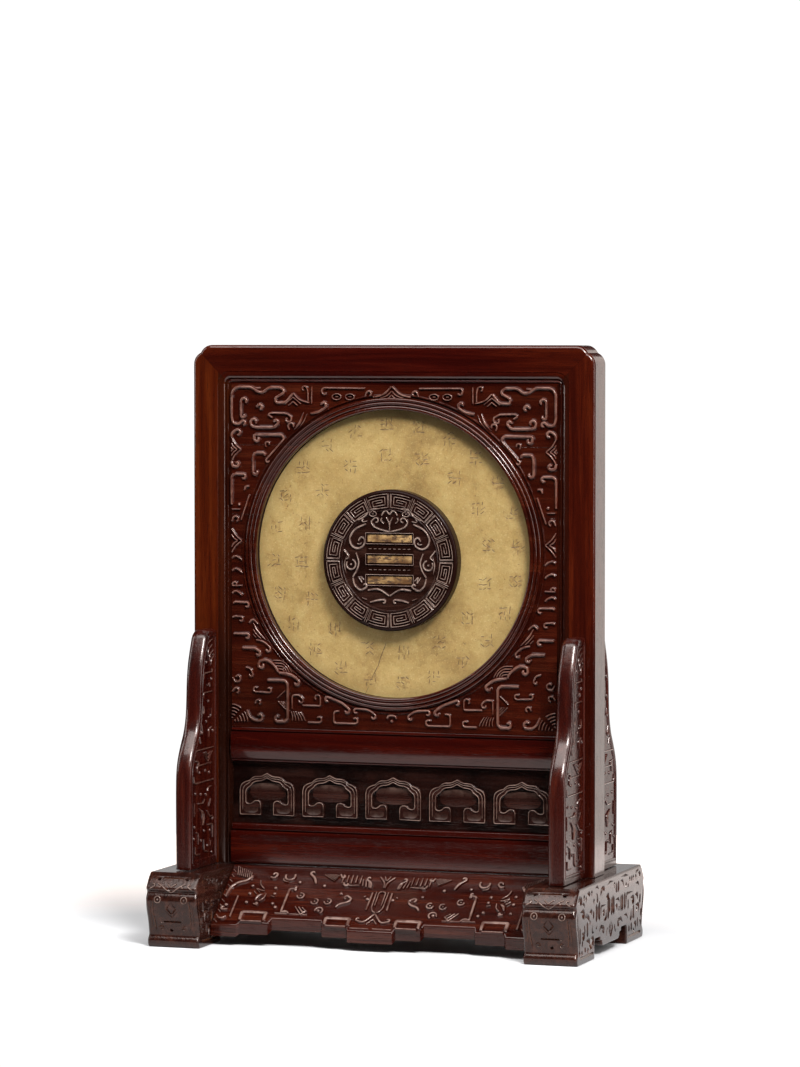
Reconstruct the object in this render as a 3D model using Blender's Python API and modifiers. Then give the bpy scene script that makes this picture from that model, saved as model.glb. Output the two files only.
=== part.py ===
"""A jade disc table screen: a moulded hardwood frame on two feet, with a jade disc under a carved boss.

Metres, +Z up. The screen faces -Y, and its origin is on the ground under its middle.
"""

import math

import bmesh
import bpy
from mathutils import Matrix, Vector

GAP = 0.0003  # between pieces that touch

# The frame: stiles and rails of one moulded section, mitred at the top corners
HEIGHT = 0.3410
FRAME_WIDTH = 0.2408
FRAME_THICK = 0.0228
MEMBER_WIDTH = 0.0226  # across the face of a stile or the top rail, bead included
GROOVE_DEPTH = 0.0040  # holds the edges of the panels
GROOVE_FRONT = -0.0060
GROOVE_BACK = 0.0093
CORNER_NOTCH = 0.0043  # how far in each top corner's notch lies
CORNER_RADIUS = 0.0074

# The two rails between the stiles
MIDDLE_RAIL_TOP = 0.1214
MIDDLE_RAIL_BOTTOM = 0.1017
BOTTOM_RAIL_TOP = 0.0657

# The carved panel and what lies in it
OPENING_RADIUS = 0.0820
OPENING_HEIGHT = 0.2223
RING_WIDTH = 0.0092
RING_FRONT = -0.0114
PANEL_FRONT = -0.0088
REBATE_RADIUS = 0.0880  # the disc lies in it, behind the ring
JADE_FRONT = -0.0048
JADE_THICK = 0.0080
BOARD_THICK = 0.0055
BOSS_RADIUS = 0.0403
BOSS_HEIGHT = 0.2189
BOSS_FRONT = -0.0142
BAR_LENGTH = 0.0260
BAR_HEIGHT = 0.0045
BAR_PITCH = 0.0119
BAR_DEPTH = 0.0010

# The row of cloud heads on the lower panel
RUYI_COUNT = 5
RUYI_PITCH = 0.0384
RUYI_HALF = 0.0171
RUYI_BOTTOM = 0.0702
RUYI_RAISED = 0.0013

# The feet, the brackets that stand on them and the aprons between them
FOOT_SPREAD = 0.2541  # over both feet
FOOT_WIDTH = 0.0311
FOOT_HEIGHT = 0.0423
FOOT_REACH = 0.0706  # half the depth of the whole screen
PAD_INNER = 0.0320
CUTOUT_HEIGHT = 0.0110
LOBE_HALF = 0.0180
LOBE_BOTTOM = 0.0053
BRACKET_THICK = 0.0093
BRACKET_TOP = 0.1780
APRON_TOP = 0.0420
APRON_SHOULDER = 0.0108  # where the slope starts, from the middle
APRON_FALL = 0.795  # of the slope, down for each step out
APRON_EDGE = 0.0072  # upright depth of the board

# Each step of an apron's lower edge: the distance from the middle where it ends, and how far out it lies
APRON_STEPS = (
    (0.0140, 0.0488),
    (0.0300, 0.0462),
    (0.0612, 0.0434),
    (0.0796, 0.0466),
    (0.0957, 0.0485),
)
APRON_STEP_SLANT = 0.0014

RING_STEPS = 76

# Where a flat outline drawn in local XY stands: across the front, or along a side
FACING_FRONT = Matrix.Rotation(math.radians(90), 4, "X")
FACING_SIDE = Matrix(((0, 0, 1, 0), (1, 0, 0, 0), (0, 1, 0, 0), (0, 0, 0, 1)))


# ---------------------------------------------------------------- outlines


def smooth(points, steps=4):
    """Points along a Catmull-Rom curve that passes through the given ones."""
    knots = [Vector(p) for p in points]
    knots = [2 * knots[0] - knots[1], *knots, 2 * knots[-1] - knots[-2]]
    run = []
    for a, b, c, d in zip(knots, knots[1:], knots[2:], knots[3:]):
        for i in range(steps):
            t = i / steps
            run.append(
                0.5 * (2 * b + (c - a) * t + (2 * a - 5 * b + 4 * c - d) * t**2 + (3 * b - a - 3 * c + d) * t**3)
            )
    run.append(knots[-2])
    return [tuple(p) for p in run]


def arc(centre, radius, start, end, steps):
    """Points on a circle from one angle to another, in degrees."""
    angles = [math.radians(start + (end - start) * i / steps) for i in range(steps + 1)]
    return [(centre[0] + radius * math.cos(a), centre[1] + radius * math.sin(a)) for a in angles]


def rectangle(left, bottom, right, top):
    return [(left, bottom), (right, bottom), (right, top), (left, top)]


def mirrored(half):
    """A half outline that starts and ends at or beside the middle, closed by its mirror image."""
    other = [(-x, y) for x, y in reversed(half) if abs(x) > 1e-6]
    return half + other


# ------------------------------------------------------------------ solids


def new_collection(name):
    found = bpy.data.collections.get(name)
    if not found:
        found = bpy.data.collections.new(name)
        bpy.context.scene.collection.children.link(found)
    return found


def new_material(name, colour, roughness):
    material = bpy.data.materials.get(name) or bpy.data.materials.new(name)
    material.use_nodes = True
    shader = material.node_tree.nodes["Principled BSDF"]
    shader.inputs["Base Color"].default_value = (*colour, 1)
    shader.inputs["Roughness"].default_value = roughness
    shader.inputs["Metallic"].default_value = 0
    return material


def flat_solid(name, outline, near, far, facing):
    """A flat outline given thickness, from near to far along its facing direction."""
    curve = bpy.data.curves.new(name, "CURVE")
    curve.dimensions = "2D"
    curve.fill_mode = "BOTH"
    curve.extrude = (far - near) / 2
    spline = curve.splines.new("POLY")
    spline.points.add(len(outline) - 1)
    for point, (a, b) in zip(spline.points, outline):
        point.co = (a, b, 0, 1)
    spline.use_cyclic_u = True
    drawn = bpy.data.objects.new(name, curve)
    bpy.context.scene.collection.objects.link(drawn)
    drawn.matrix_world = facing @ Matrix.Translation((0, 0, (near + far) / 2))
    bpy.context.view_layer.update()
    mesh = bpy.data.meshes.new_from_object(drawn.evaluated_get(bpy.context.evaluated_depsgraph_get()))
    placed = drawn.matrix_world.copy()
    bpy.data.objects.remove(drawn)
    weld(mesh)
    solid = bpy.data.objects.new(name, mesh)
    solid.matrix_world = placed
    return solid


def weld(mesh):
    """Close the loose caps of a filled outline, and make each flat side one face."""
    bm = bmesh.new()
    bm.from_mesh(mesh)
    bmesh.ops.remove_doubles(bm, verts=bm.verts, dist=1e-6)
    bmesh.ops.dissolve_limit(bm, angle_limit=math.radians(0.1), verts=bm.verts, edges=bm.edges)
    bmesh.ops.recalc_face_normals(bm, faces=bm.faces)
    bm.to_mesh(mesh)
    bm.free()


def front_solid(name, outline, front, back):
    """A piece seen from the front as the outline in X and Z, from front to back in Y."""
    return flat_solid(name, outline, -back, -front, FACING_FRONT)


def side_solid(name, outline, left, right):
    """A piece seen from the side as the outline in Y and Z, from left to right in X."""
    return flat_solid(name, outline, left, right, FACING_SIDE)


def turned_solid(name, profile, height, closed=False):
    """A profile of radius and forward reach, turned about an axis that points forward."""
    mesh = bpy.data.meshes.new(name)
    last = len(profile) if closed else len(profile) - 1
    edges = [(i, (i + 1) % len(profile)) for i in range(last)]
    mesh.from_pydata([(radius, 0, reach) for radius, reach in profile], edges, [])
    solid = bpy.data.objects.new(name, mesh)
    solid.matrix_world = Matrix.Translation((0, 0, height)) @ FACING_FRONT
    screw = solid.modifiers.new("turn", "SCREW")
    screw.axis = "Z"
    screw.steps = screw.render_steps = RING_STEPS
    screw.use_merge_vertices = True
    screw.merge_threshold = 1e-5
    screw.use_normal_calculate = False
    return solid


def combine(solid, operation, other):
    """Cut another solid out of this one, join it on, or keep only what both fill."""
    new_collection("cutters").objects.link(other)
    other.hide_render = True
    other.display_type = "WIRE"
    boolean = solid.modifiers.new(operation.lower(), "BOOLEAN")
    boolean.operation = operation
    boolean.object = other
    boolean.solver = "EXACT"


def soften(solid, width, segments=2, angle=35):
    bevel = solid.modifiers.new("soft edges", "BEVEL")
    bevel.width = width
    bevel.segments = segments
    bevel.limit_method = "ANGLE"
    bevel.angle_limit = math.radians(angle)
    bevel.use_clamp_overlap = True


def finish(solid, material, root, edge=35):
    """Give a piece its material and smooth shading, and hang it on the screen's empty."""
    new_collection("jade_disc_table_screen").objects.link(solid)
    solid.data.materials.clear()
    solid.data.materials.append(material)
    solid.data.shade_smooth()
    solid.data.set_sharp_from_angle(angle=math.radians(edge))
    placed = solid.matrix_world.copy()
    solid.parent = root
    solid.matrix_world = placed
    return solid


# ------------------------------------------------------------------- frame


def member_section():
    """Half way round a stile: distance in from the outer edge, and Y, front to back."""
    front = -FRAME_THICK / 2
    back = FRAME_THICK / 2
    inner = MEMBER_WIDTH
    bead = arc((0.0192, front + 0.0024), 0.0016, 190, 350, 4)
    return [
        (0, front + 0.0018),
        (0.0006, front + 0.0005),
        (0.0020, front),
        (0.0143, front),
        (0.0152, front + 0.0010),
        (0.0168, front + 0.0024),
        *bead,
        (0.0212, front + 0.0033),
        (inner, front + 0.0033),
        (inner, GROOVE_FRONT),
        (inner - GROOVE_DEPTH, GROOVE_FRONT),
        (inner - GROOVE_DEPTH, GROOVE_BACK),
        (inner, GROOVE_BACK),
        (inner, back - 0.0006),
        (inner - 0.0008, back),
        (0.0020, back),
        (0.0006, back - 0.0005),
        (0, back - 0.0018),
    ]


def corner_arc():
    """A stile's outer top corner, from its side up to the notch: distances in from the side and the top."""
    # the arc leaves the side square and passes through the notch, which fixes where it starts
    start = CORNER_NOTCH + math.sqrt(CORNER_RADIUS**2 - (CORNER_RADIUS - CORNER_NOTCH) ** 2)
    sweep = math.degrees(math.asin((start - CORNER_NOTCH) / CORNER_RADIUS))
    return [(x, start - y) for x, y in arc((CORNER_RADIUS, 0), CORNER_RADIUS, 180, 180 - sweep, 5)]


def make_stile(side):
    """One upright of the frame, from its foot to the mitred top corner."""
    name = "stile_left" if side < 0 else "stile_right"
    outer = FRAME_WIDTH / 2
    base = FOOT_HEIGHT + GAP
    section = [(side * (outer - d), y) for d, y in member_section()]
    stile = flat_solid(name, section, base, HEIGHT, Matrix.Identity(4))
    mitre = GAP / 2 * math.sqrt(2)
    reach = MEMBER_WIDTH + 0.001
    outline = [(side * (outer - d), HEIGHT - mitre - drop) for d, drop in corner_arc()]
    outline.append((side * (outer - reach), HEIGHT - mitre - reach))
    outline.append((side * (outer - reach), base - 0.001))
    outline.append((side * (outer + 0.001), base - 0.001))
    outline.append((side * (outer + 0.001), outline[0][1]))
    combine(stile, "INTERSECT", front_solid(name + "_shape", outline, -FRAME_THICK, FRAME_THICK))
    return stile


def make_top_rail():
    """The top of the frame, mitred to both stiles."""
    half = FRAME_WIDTH / 2
    section = [(y, HEIGHT - d) for d, y in member_section()]
    rail = side_solid("top_rail", section, -half, half)
    mitre = GAP / 2 * math.sqrt(2)
    reach = MEMBER_WIDTH + 0.001
    right = [(half - mitre - drop, HEIGHT - d) for d, drop in corner_arc()]
    right = [(half - mitre - reach, HEIGHT - reach)] + right[::-1]
    right.append((right[-1][0], HEIGHT + 0.001))
    outline = right + [(-x, z) for x, z in reversed(right)]
    combine(rail, "INTERSECT", front_solid("top_rail_shape", outline, -FRAME_THICK, FRAME_THICK))
    return rail


def rail_section(bottom, top, grooved_below):
    """A rail in Y and Z: a bead, a face that turns under, a groove on top and, where asked, one below."""
    front = -FRAME_THICK / 2
    back = FRAME_THICK / 2
    waist = bottom + 0.0105
    lower = bottom + 0.0022 if grooved_below else bottom
    face = [
        (front + 0.0033, top),
        (front + 0.0033, top - 0.0012),
        *arc((front + 0.0022, top - 0.0026), 0.0014, 80, 240, 4),
        (front + 0.0003, top - 0.0058),
        *smooth([(front, waist), (front + 0.0004, (waist + lower) / 2), (front + 0.0022, lower)], 3),
    ]
    if grooved_below:
        face += [(front + 0.0016, lower - 0.0008), (front + 0.0020, bottom + 0.0004), (front + 0.0030, bottom)]
        face += [
            (GROOVE_FRONT, bottom),
            (GROOVE_FRONT, bottom + GROOVE_DEPTH),
            (GROOVE_BACK, bottom + GROOVE_DEPTH),
            (GROOVE_BACK, bottom),
        ]
    face += [(back - 0.0006, bottom), (back, bottom + 0.0008), (back, top - 0.0008), (back - 0.0006, top)]
    face += [
        (GROOVE_BACK, top),
        (GROOVE_BACK, top - GROOVE_DEPTH),
        (GROOVE_FRONT, top - GROOVE_DEPTH),
        (GROOVE_FRONT, top),
    ]
    return face


def make_rail(name, bottom, top, grooved_below):
    half = FRAME_WIDTH / 2 - MEMBER_WIDTH - GAP
    return side_solid(name, rail_section(bottom, top, grooved_below), -half, half)


# ------------------------------------------------- the panels and the disc


def tongue_outline(bottom, top):
    """The outline of a panel whose edges lie in the frame's grooves, for an opening from bottom to top."""
    half = FRAME_WIDTH / 2 - MEMBER_WIDTH + GROOVE_DEPTH - GAP
    return rectangle(-half, bottom - GROOVE_DEPTH + GAP, half, top + GROOVE_DEPTH - GAP)


def make_carved_panel():
    """The square panel, its round opening edged with three beads and rebated behind for the disc."""
    half = FRAME_WIDTH / 2 - MEMBER_WIDTH - GAP
    top = HEIGHT - MEMBER_WIDTH
    back = JADE_FRONT + JADE_THICK
    panel = front_solid("carved_panel", tongue_outline(MIDDLE_RAIL_TOP, top), GROOVE_FRONT + GAP, back)
    raised = rectangle(-half, MIDDLE_RAIL_TOP + GAP, half, top - GAP)
    combine(panel, "UNION", front_solid("panel_face", raised, PANEL_FRONT, GROOVE_FRONT + 0.002))
    combine(panel, "UNION", turned_solid("panel_ring", ring_profile(), OPENING_HEIGHT))
    past = 0.020
    seat = GAP - JADE_FRONT
    opening = [(0, past), (OPENING_RADIUS, past), (OPENING_RADIUS, seat)]
    opening += [(REBATE_RADIUS, seat), (REBATE_RADIUS, -past), (0, -past)]
    combine(panel, "DIFFERENCE", turned_solid("panel_opening", opening, OPENING_HEIGHT))
    return panel


def ring_profile():
    """Three beads before the opening is cut, as radius and forward reach, from the middle down the outer side."""
    inner = OPENING_RADIUS
    front = -RING_FRONT
    return [
        (0, front - 0.0030),
        (inner - 0.0005, front - 0.0030),
        (inner + 0.0009, front - 0.0003),
        (inner + 0.0019, front - 0.0003),
        (inner + 0.0027, front - 0.0016),
        (inner + 0.0033, front),
        (inner + 0.0041, front),
        (inner + 0.0048, front - 0.0015),
        (inner + 0.0056, front - 0.0005),
        (inner + 0.0064, front - 0.0006),
        (inner + 0.0074, front - 0.0025),
        (inner + RING_WIDTH, front - 0.0017),
        (inner + RING_WIDTH, -GROOVE_FRONT - 0.0015),
        (0, -GROOVE_FRONT - 0.0015),
    ]


def make_jade_disc():
    radius = REBATE_RADIUS - GAP
    back = -(JADE_FRONT + JADE_THICK - GAP)
    soft = 0.0006
    profile = [
        (0, -JADE_FRONT),
        (radius - soft, -JADE_FRONT),
        (radius, -JADE_FRONT - soft),
        (radius, back + soft),
        (radius - soft, back),
        (0, back),
    ]
    return turned_solid("jade_disc", profile, OPENING_HEIGHT)


def make_back_board():
    """The plain board that closes the back and keeps the disc in its rebate."""
    front = JADE_FRONT + JADE_THICK + GAP
    top = HEIGHT - MEMBER_WIDTH
    return front_solid("back_board", tongue_outline(MIDDLE_RAIL_TOP, top), front, front + BOARD_THICK)


def make_centre_boss():
    """The round boss on the disc: a rounded rim, a border band, and a field with three sunk bars."""
    radius = BOSS_RADIUS
    front = -BOSS_FRONT
    back = -(JADE_FRONT - GAP)
    band_outer = radius - 0.0020
    band_inner = 0.0288
    sunk = 0.0005
    profile = [
        (0, front - sunk),
        (band_inner - 0.0008, front - sunk),
        (band_inner, front),
        (band_inner + 0.0008, front - sunk),
        (band_outer - 0.0006, front - sunk),
        (band_outer, front),
        (radius - 0.0007, front - 0.0007),
        (radius, front - 0.0022),
        (radius, back + 0.0008),
        (radius - 0.0008, back),
        (0, back),
    ]
    boss = turned_solid("centre_boss", profile, BOSS_HEIGHT)
    for step in (-1, 0, 1):
        middle = BOSS_HEIGHT + step * BAR_PITCH
        bar = rectangle(-BAR_LENGTH / 2, middle - BAR_HEIGHT / 2, BAR_LENGTH / 2, middle + BAR_HEIGHT / 2)
        floor = BOSS_FRONT + sunk + BAR_DEPTH
        combine(boss, "DIFFERENCE", front_solid("bar_recess", bar, BOSS_FRONT - 0.002, floor))
    return boss


def ruyi_outline():
    """A cloud head about its own middle: a lobed arch whose two feet curl in, open below."""
    h = RUYI_HALF
    outer = smooth([(h, 0.0160), (0.0163, 0.0184), (0.0126, 0.0202)], 2)
    outer += smooth([(0.0112, 0.0216), (0.0086, 0.0228), (0.0056, 0.0229), (0.0030, 0.0233), (0, 0.0250)], 2)
    inner = smooth([(0, 0.0211), (0.0030, 0.0197), (0.0062, 0.0192), (0.0084, 0.0182)], 2)
    inner += smooth([(0.0094, 0.0166), (0.0120, 0.0152), (0.0127, 0.0118), (0.0124, 0.0088)], 2)
    inner += smooth([(0.0116, 0.0076), (0.0101, 0.0076), (0.0081, 0.0090), (0.0056, 0.0087)], 2)
    inner += [(0.0041, 0.0072), (0.0036, 0.0004), (0.0042, 0)]
    right = [(h - 0.0006, 0), (h, 0.0006)] + outer
    left = [(-x, z) for x, z in reversed(right[:-1])]
    mouth = [(-x, z) for x, z in reversed(inner)]
    return right + left + mouth + inner[1:]


def make_ruyi_panel():
    """The lower panel, one board with a row of raised cloud heads."""
    front = GROOVE_FRONT + GAP
    outline = tongue_outline(BOTTOM_RAIL_TOP, MIDDLE_RAIL_BOTTOM)
    panel = front_solid("ruyi_panel", outline, front, GROOVE_BACK - GAP)
    for i in range(RUYI_COUNT):
        middle = (i - (RUYI_COUNT - 1) / 2) * RUYI_PITCH
        head = [(x + middle, z + RUYI_BOTTOM) for x, z in ruyi_outline()]
        combine(panel, "UNION", front_solid("cloud_head", head, front - RUYI_RAISED, front + 0.001))
    return panel


# ------------------------------------------------------- feet and brackets


def foot_half_outline():
    """The front half of a foot seen from the side, from the middle of its top round to the middle below."""
    r = FOOT_REACH
    shoulder = smooth([(0.0615, FOOT_HEIGHT), (0.0648, 0.0392), (0.0668, 0.0362), (0.0685, 0.0338)], 2)
    nose = smooth([(0.0690, 0.0330), (0.0704, 0.0300), (r, 0.0265), (0.0688, 0.0198), (0.0667, 0.0148)], 3)
    lip = smooth([(0.0658, 0.0100), (0.0660, 0.0062), (0.0671, 0.0036), (0.0670, 0.0014), (0.0662, 0)], 2)
    soft = 0.0020
    cutout = [
        (PAD_INNER + 0.0004, 0),
        (PAD_INNER, 0.0006),
        (PAD_INNER, CUTOUT_HEIGHT - soft),
        (PAD_INNER - soft, CUTOUT_HEIGHT),
        (LOBE_HALF + 0.0032, CUTOUT_HEIGHT),
        (LOBE_HALF + 0.0032, CUTOUT_HEIGHT - soft),
        (LOBE_HALF, CUTOUT_HEIGHT - soft),
    ]
    lobe = arc((LOBE_HALF - 0.0030, LOBE_BOTTOM + 0.0030), 0.0030, 0, -90, 3)
    return shoulder + nose + lip + cutout + lobe


def make_foot(side):
    name = "foot_left" if side < 0 else "foot_right"
    outer = FOOT_SPREAD / 2
    inner = outer - FOOT_WIDTH
    left, right = sorted((side * outer, side * inner))
    foot = side_solid(name, mirrored(foot_half_outline()), left, right)
    soften(foot, 0.0008, 1, 50)
    return foot


def bracket_outline():
    """A bracket seen from the side: distance out from the frame's middle, and height."""
    inner = FRAME_THICK / 2 + GAP
    foot = FOOT_HEIGHT + GAP
    shoulder = arc((0.0212, BRACKET_TOP - 0.0090), 0.0090, 90, 30, 4)
    neck = [(0.0325, 0.1660), (0.0352, 0.1590), (0.0368, 0.1500), (0.0375, 0.1390), (0.0385, 0.1295)]
    hip = [(0.0415, 0.1210), (0.0460, 0.1140), (0.0503, 0.1070), (0.0528, 0.0990), (0.0537, 0.0860)]
    return [(inner, foot), (inner, BRACKET_TOP)] + shoulder + smooth(neck + hip + [(0.0536, 0.0640), (0.0533, foot)], 2)


def make_bracket(name, side, facing):
    """One of the four brackets that stand on the feet against the faces of the stiles."""
    middle = side * (FRAME_WIDTH / 2 - 0.0097)
    outline = [(facing * y, z) for y, z in bracket_outline()]
    half = BRACKET_THICK / 2
    bracket = side_solid(name, outline, middle - half, middle + half)
    soften(bracket, 0.0022, 2, 50)
    return bracket


def apron_slab():
    """The sloping board in section: distance out from the middle, and height."""
    reach = 0.060
    slope_end = APRON_TOP - (reach - APRON_SHOULDER) * APRON_FALL
    return [
        (GAP / 2, APRON_TOP),
        (APRON_SHOULDER, APRON_TOP),
        (reach, slope_end),
        (reach, slope_end - APRON_EDGE),
        (APRON_SHOULDER - 0.004, APRON_TOP - APRON_EDGE),
        (GAP / 2, APRON_TOP - APRON_EDGE),
    ]


def apron_plan():
    """The board from above: a stepped lower edge, as distances along and out from the middle."""
    half = []
    start = 0
    for end, out in APRON_STEPS:
        half += [(start + APRON_STEP_SLANT / 2 if start else 0, out), (end - APRON_STEP_SLANT / 2, out)]
        start = end
    past_end = FOOT_SPREAD / 2
    half[-1] = (past_end, half[-1][1])
    half.append((past_end, -0.001))
    return mirrored(half)


def make_apron(name, facing):
    """One of the two sloping aprons between the feet, under the bottom rail."""
    half = FOOT_SPREAD / 2 - FOOT_WIDTH - GAP
    apron = side_solid(name, [(facing * y, z) for y, z in apron_slab()], -half, half)
    plan = [(x, facing * y) for x, y in apron_plan()]
    combine(apron, "INTERSECT", flat_solid(name + "_plan", plan, -0.01, 0.06, Matrix.Identity(4)))
    return apron


# ---------------------------------------------------------------- assembly


def clear_scene():
    for old in list(bpy.data.objects):
        bpy.data.objects.remove(old)


def build():
    clear_scene()
    root = bpy.data.objects.new("screen", None)
    new_collection("jade_disc_table_screen").objects.link(root)
    red_wood = new_material("polished_redwood", (0.100, 0.014, 0.008), 0.28)
    dark_wood = new_material("dark_carved_wood", (0.035, 0.012, 0.010), 0.35)
    plain_wood = new_material("plain_back_wood", (0.070, 0.016, 0.010), 0.45)
    jade = new_material("yellow_jade", (0.560, 0.430, 0.200), 0.40)

    for side, hand in ((-1, "left"), (1, "right")):
        finish(make_foot(side), dark_wood, root)
        finish(make_stile(side), red_wood, root)
        for facing, end in ((-1, "front"), (1, "back")):
            finish(make_bracket(f"spandrel_{end}_{hand}", side, facing), red_wood, root)
    finish(make_top_rail(), red_wood, root)
    finish(make_rail("middle_rail", MIDDLE_RAIL_BOTTOM, MIDDLE_RAIL_TOP, True), red_wood, root)
    finish(make_rail("bottom_rail", FOOT_HEIGHT + GAP, BOTTOM_RAIL_TOP, False), red_wood, root)
    finish(make_carved_panel(), red_wood, root)
    finish(make_jade_disc(), jade, root)
    finish(make_centre_boss(), dark_wood, root)
    finish(make_back_board(), plain_wood, root)
    finish(make_ruyi_panel(), dark_wood, root)
    finish(make_apron("apron_front", -1), red_wood, root)
    finish(make_apron("apron_back", 1), red_wood, root)


build()
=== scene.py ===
"""The finish and fine carving of a jade disc table screen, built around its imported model.

Metres, +Z up; the screen faces -Y and stands on the ground with its middle over the origin.
Carved work is drawn flat in millimetres, as strokes of the gouge, and laid on the faces it decorates.
"""

import math

import bmesh
import bpy
import numpy as np
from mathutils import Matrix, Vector
from mathutils.geometry import delaunay_2d_cdt


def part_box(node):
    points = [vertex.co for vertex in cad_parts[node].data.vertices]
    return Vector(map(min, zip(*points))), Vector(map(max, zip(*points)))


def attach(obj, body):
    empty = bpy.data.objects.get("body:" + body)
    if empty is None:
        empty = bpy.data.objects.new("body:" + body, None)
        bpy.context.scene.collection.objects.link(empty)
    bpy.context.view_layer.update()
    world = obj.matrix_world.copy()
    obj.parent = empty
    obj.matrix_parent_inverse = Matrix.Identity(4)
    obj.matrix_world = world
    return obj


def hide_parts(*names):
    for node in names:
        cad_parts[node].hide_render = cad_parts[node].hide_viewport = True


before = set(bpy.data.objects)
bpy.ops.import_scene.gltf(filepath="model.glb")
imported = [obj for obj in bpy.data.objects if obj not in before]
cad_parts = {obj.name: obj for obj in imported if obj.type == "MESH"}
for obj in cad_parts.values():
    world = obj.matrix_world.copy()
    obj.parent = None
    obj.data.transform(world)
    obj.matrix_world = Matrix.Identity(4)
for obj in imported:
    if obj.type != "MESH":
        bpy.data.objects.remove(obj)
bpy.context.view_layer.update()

# ---------------------------------------------------------------- the studio
# A long lens looks a little down on the screen from its front right. The room is dark in front, with soft
# boxes overhead, at the sides and behind, so that polished wood shows its colour and carries long highlights.

SWING = math.radians(18.93)
PITCH = math.radians(2.60)
TARGET = Vector((0.00159, 0, 0.23373))
DISTANCE = 2.5349
LENS = 150.1
SENSOR = 36
FAR_ENOUGH = 50
WHITE = (1, 1, 1, 1)
ROOM_LIGHT = 0.02
BACKDROP_LIGHT = 1.05

away = Vector((math.sin(SWING) * math.cos(PITCH), -math.cos(SWING) * math.cos(PITCH), math.sin(PITCH)))
camera_data = bpy.data.cameras.new("camera")
camera_data.lens = LENS
camera_data.sensor_width = SENSOR
camera_data.clip_end = FAR_ENOUGH
camera = bpy.data.objects.new("camera", camera_data)
camera.location = TARGET + away * DISTANCE
camera.rotation_euler = away.to_track_quat("Z", "Y").to_euler()
bpy.context.scene.collection.objects.link(camera)
bpy.context.scene.camera = camera
bpy.context.scene.view_settings.view_transform = "Standard"


def soft_box(name, place, aim, width, height, power, colour=(1, 1, 1)):
    """A rectangular area light, aimed at a point of the screen."""
    data = bpy.data.lights.new(name, "AREA")
    data.shape = "RECTANGLE"
    data.size = width
    data.size_y = height
    data.energy = power
    data.color = colour
    light = bpy.data.objects.new(name, data)
    light.location = place
    light.rotation_euler = (Vector(place) - Vector(aim)).to_track_quat("Z", "Y").to_euler()
    light.visible_camera = False
    bpy.context.scene.collection.objects.link(light)


soft_box("key", (0.95, -1.15, 1.40), (0, 0, 0.17), 0.45, 0.45, 44)
soft_box("overhead", (0, -0.72, 1.45), (0, -0.1, 0.1), 1.5, 0.8, 24)
soft_box("right_panel", (1.40, -0.35, 0.75), (0, 0, 0.2), 0.35, 1.3, 9)
soft_box("rear_panel", (0.66, 1.50, 0.60), (0.12, 0, 0.2), 0.9, 1.6, 5.4, (1, 0.93, 0.87))
soft_box("left_panel", (-1.30, -0.45, 0.75), (0, 0, 0.15), 0.30, 1.1, 6)
soft_box("back_wall", (-0.40, 1.60, 0.32), (-0.05, 0, 0.10), 1.3, 0.6, 1.3)


class Value:
    """A value in a finish, with arithmetic that adds Math nodes."""

    def __init__(self, finish, socket):
        self.finish = finish
        self.socket = socket

    def __add__(self, other):
        return self.finish.maths("ADD", self, other)

    def __radd__(self, other):
        return self.finish.maths("ADD", other, self)

    def __sub__(self, other):
        return self.finish.maths("SUBTRACT", self, other)

    def __rsub__(self, other):
        return self.finish.maths("SUBTRACT", other, self)

    def __mul__(self, other):
        return self.finish.maths("MULTIPLY", self, other)

    def __rmul__(self, other):
        return self.finish.maths("MULTIPLY", other, self)

    def __pow__(self, other):
        return self.finish.maths("POWER", self, other)

    def size(self):
        return self.finish.maths("ABSOLUTE", self)

    def step(self, low, high, way="SMOOTHSTEP"):
        """0 below low, 1 above high, and smooth between; turned round where high is below low."""
        inputs = {"Value": self, "From Min": low, "From Max": high}
        return self.finish.node("ShaderNodeMapRange", {"interpolation_type": way}, inputs)


class Nodes:
    """A tree of nodes, built one by one."""

    def __init__(self, tree):
        self.tree = tree

    def node(self, kind, settings, inputs, output=0):
        """A node of that kind: its settings first, then the values or links of its sockets."""
        made = self.tree.nodes.new(kind)
        for name, value in settings.items():
            if name == "stops":
                self.set_stops(made.color_ramp, value)
            else:
                setattr(made, name, value)
        for name, value in inputs.items():
            self.feed(made.inputs[name], value)
        return Value(self, made.outputs[output])

    def set_stops(self, ramp, stops):
        while len(ramp.elements) < len(stops):
            ramp.elements.new(1)
        for element, (place, colour) in zip(ramp.elements, stops):
            element.position = place
            element.color = (*colour, 1)

    def feed(self, socket, value):
        if isinstance(value, Value):
            self.tree.links.new(value.socket, socket)
        else:
            socket.default_value = value

    def maths(self, operation, *values):
        return self.node("ShaderNodeMath", {"operation": operation}, dict(enumerate(values)))


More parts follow.
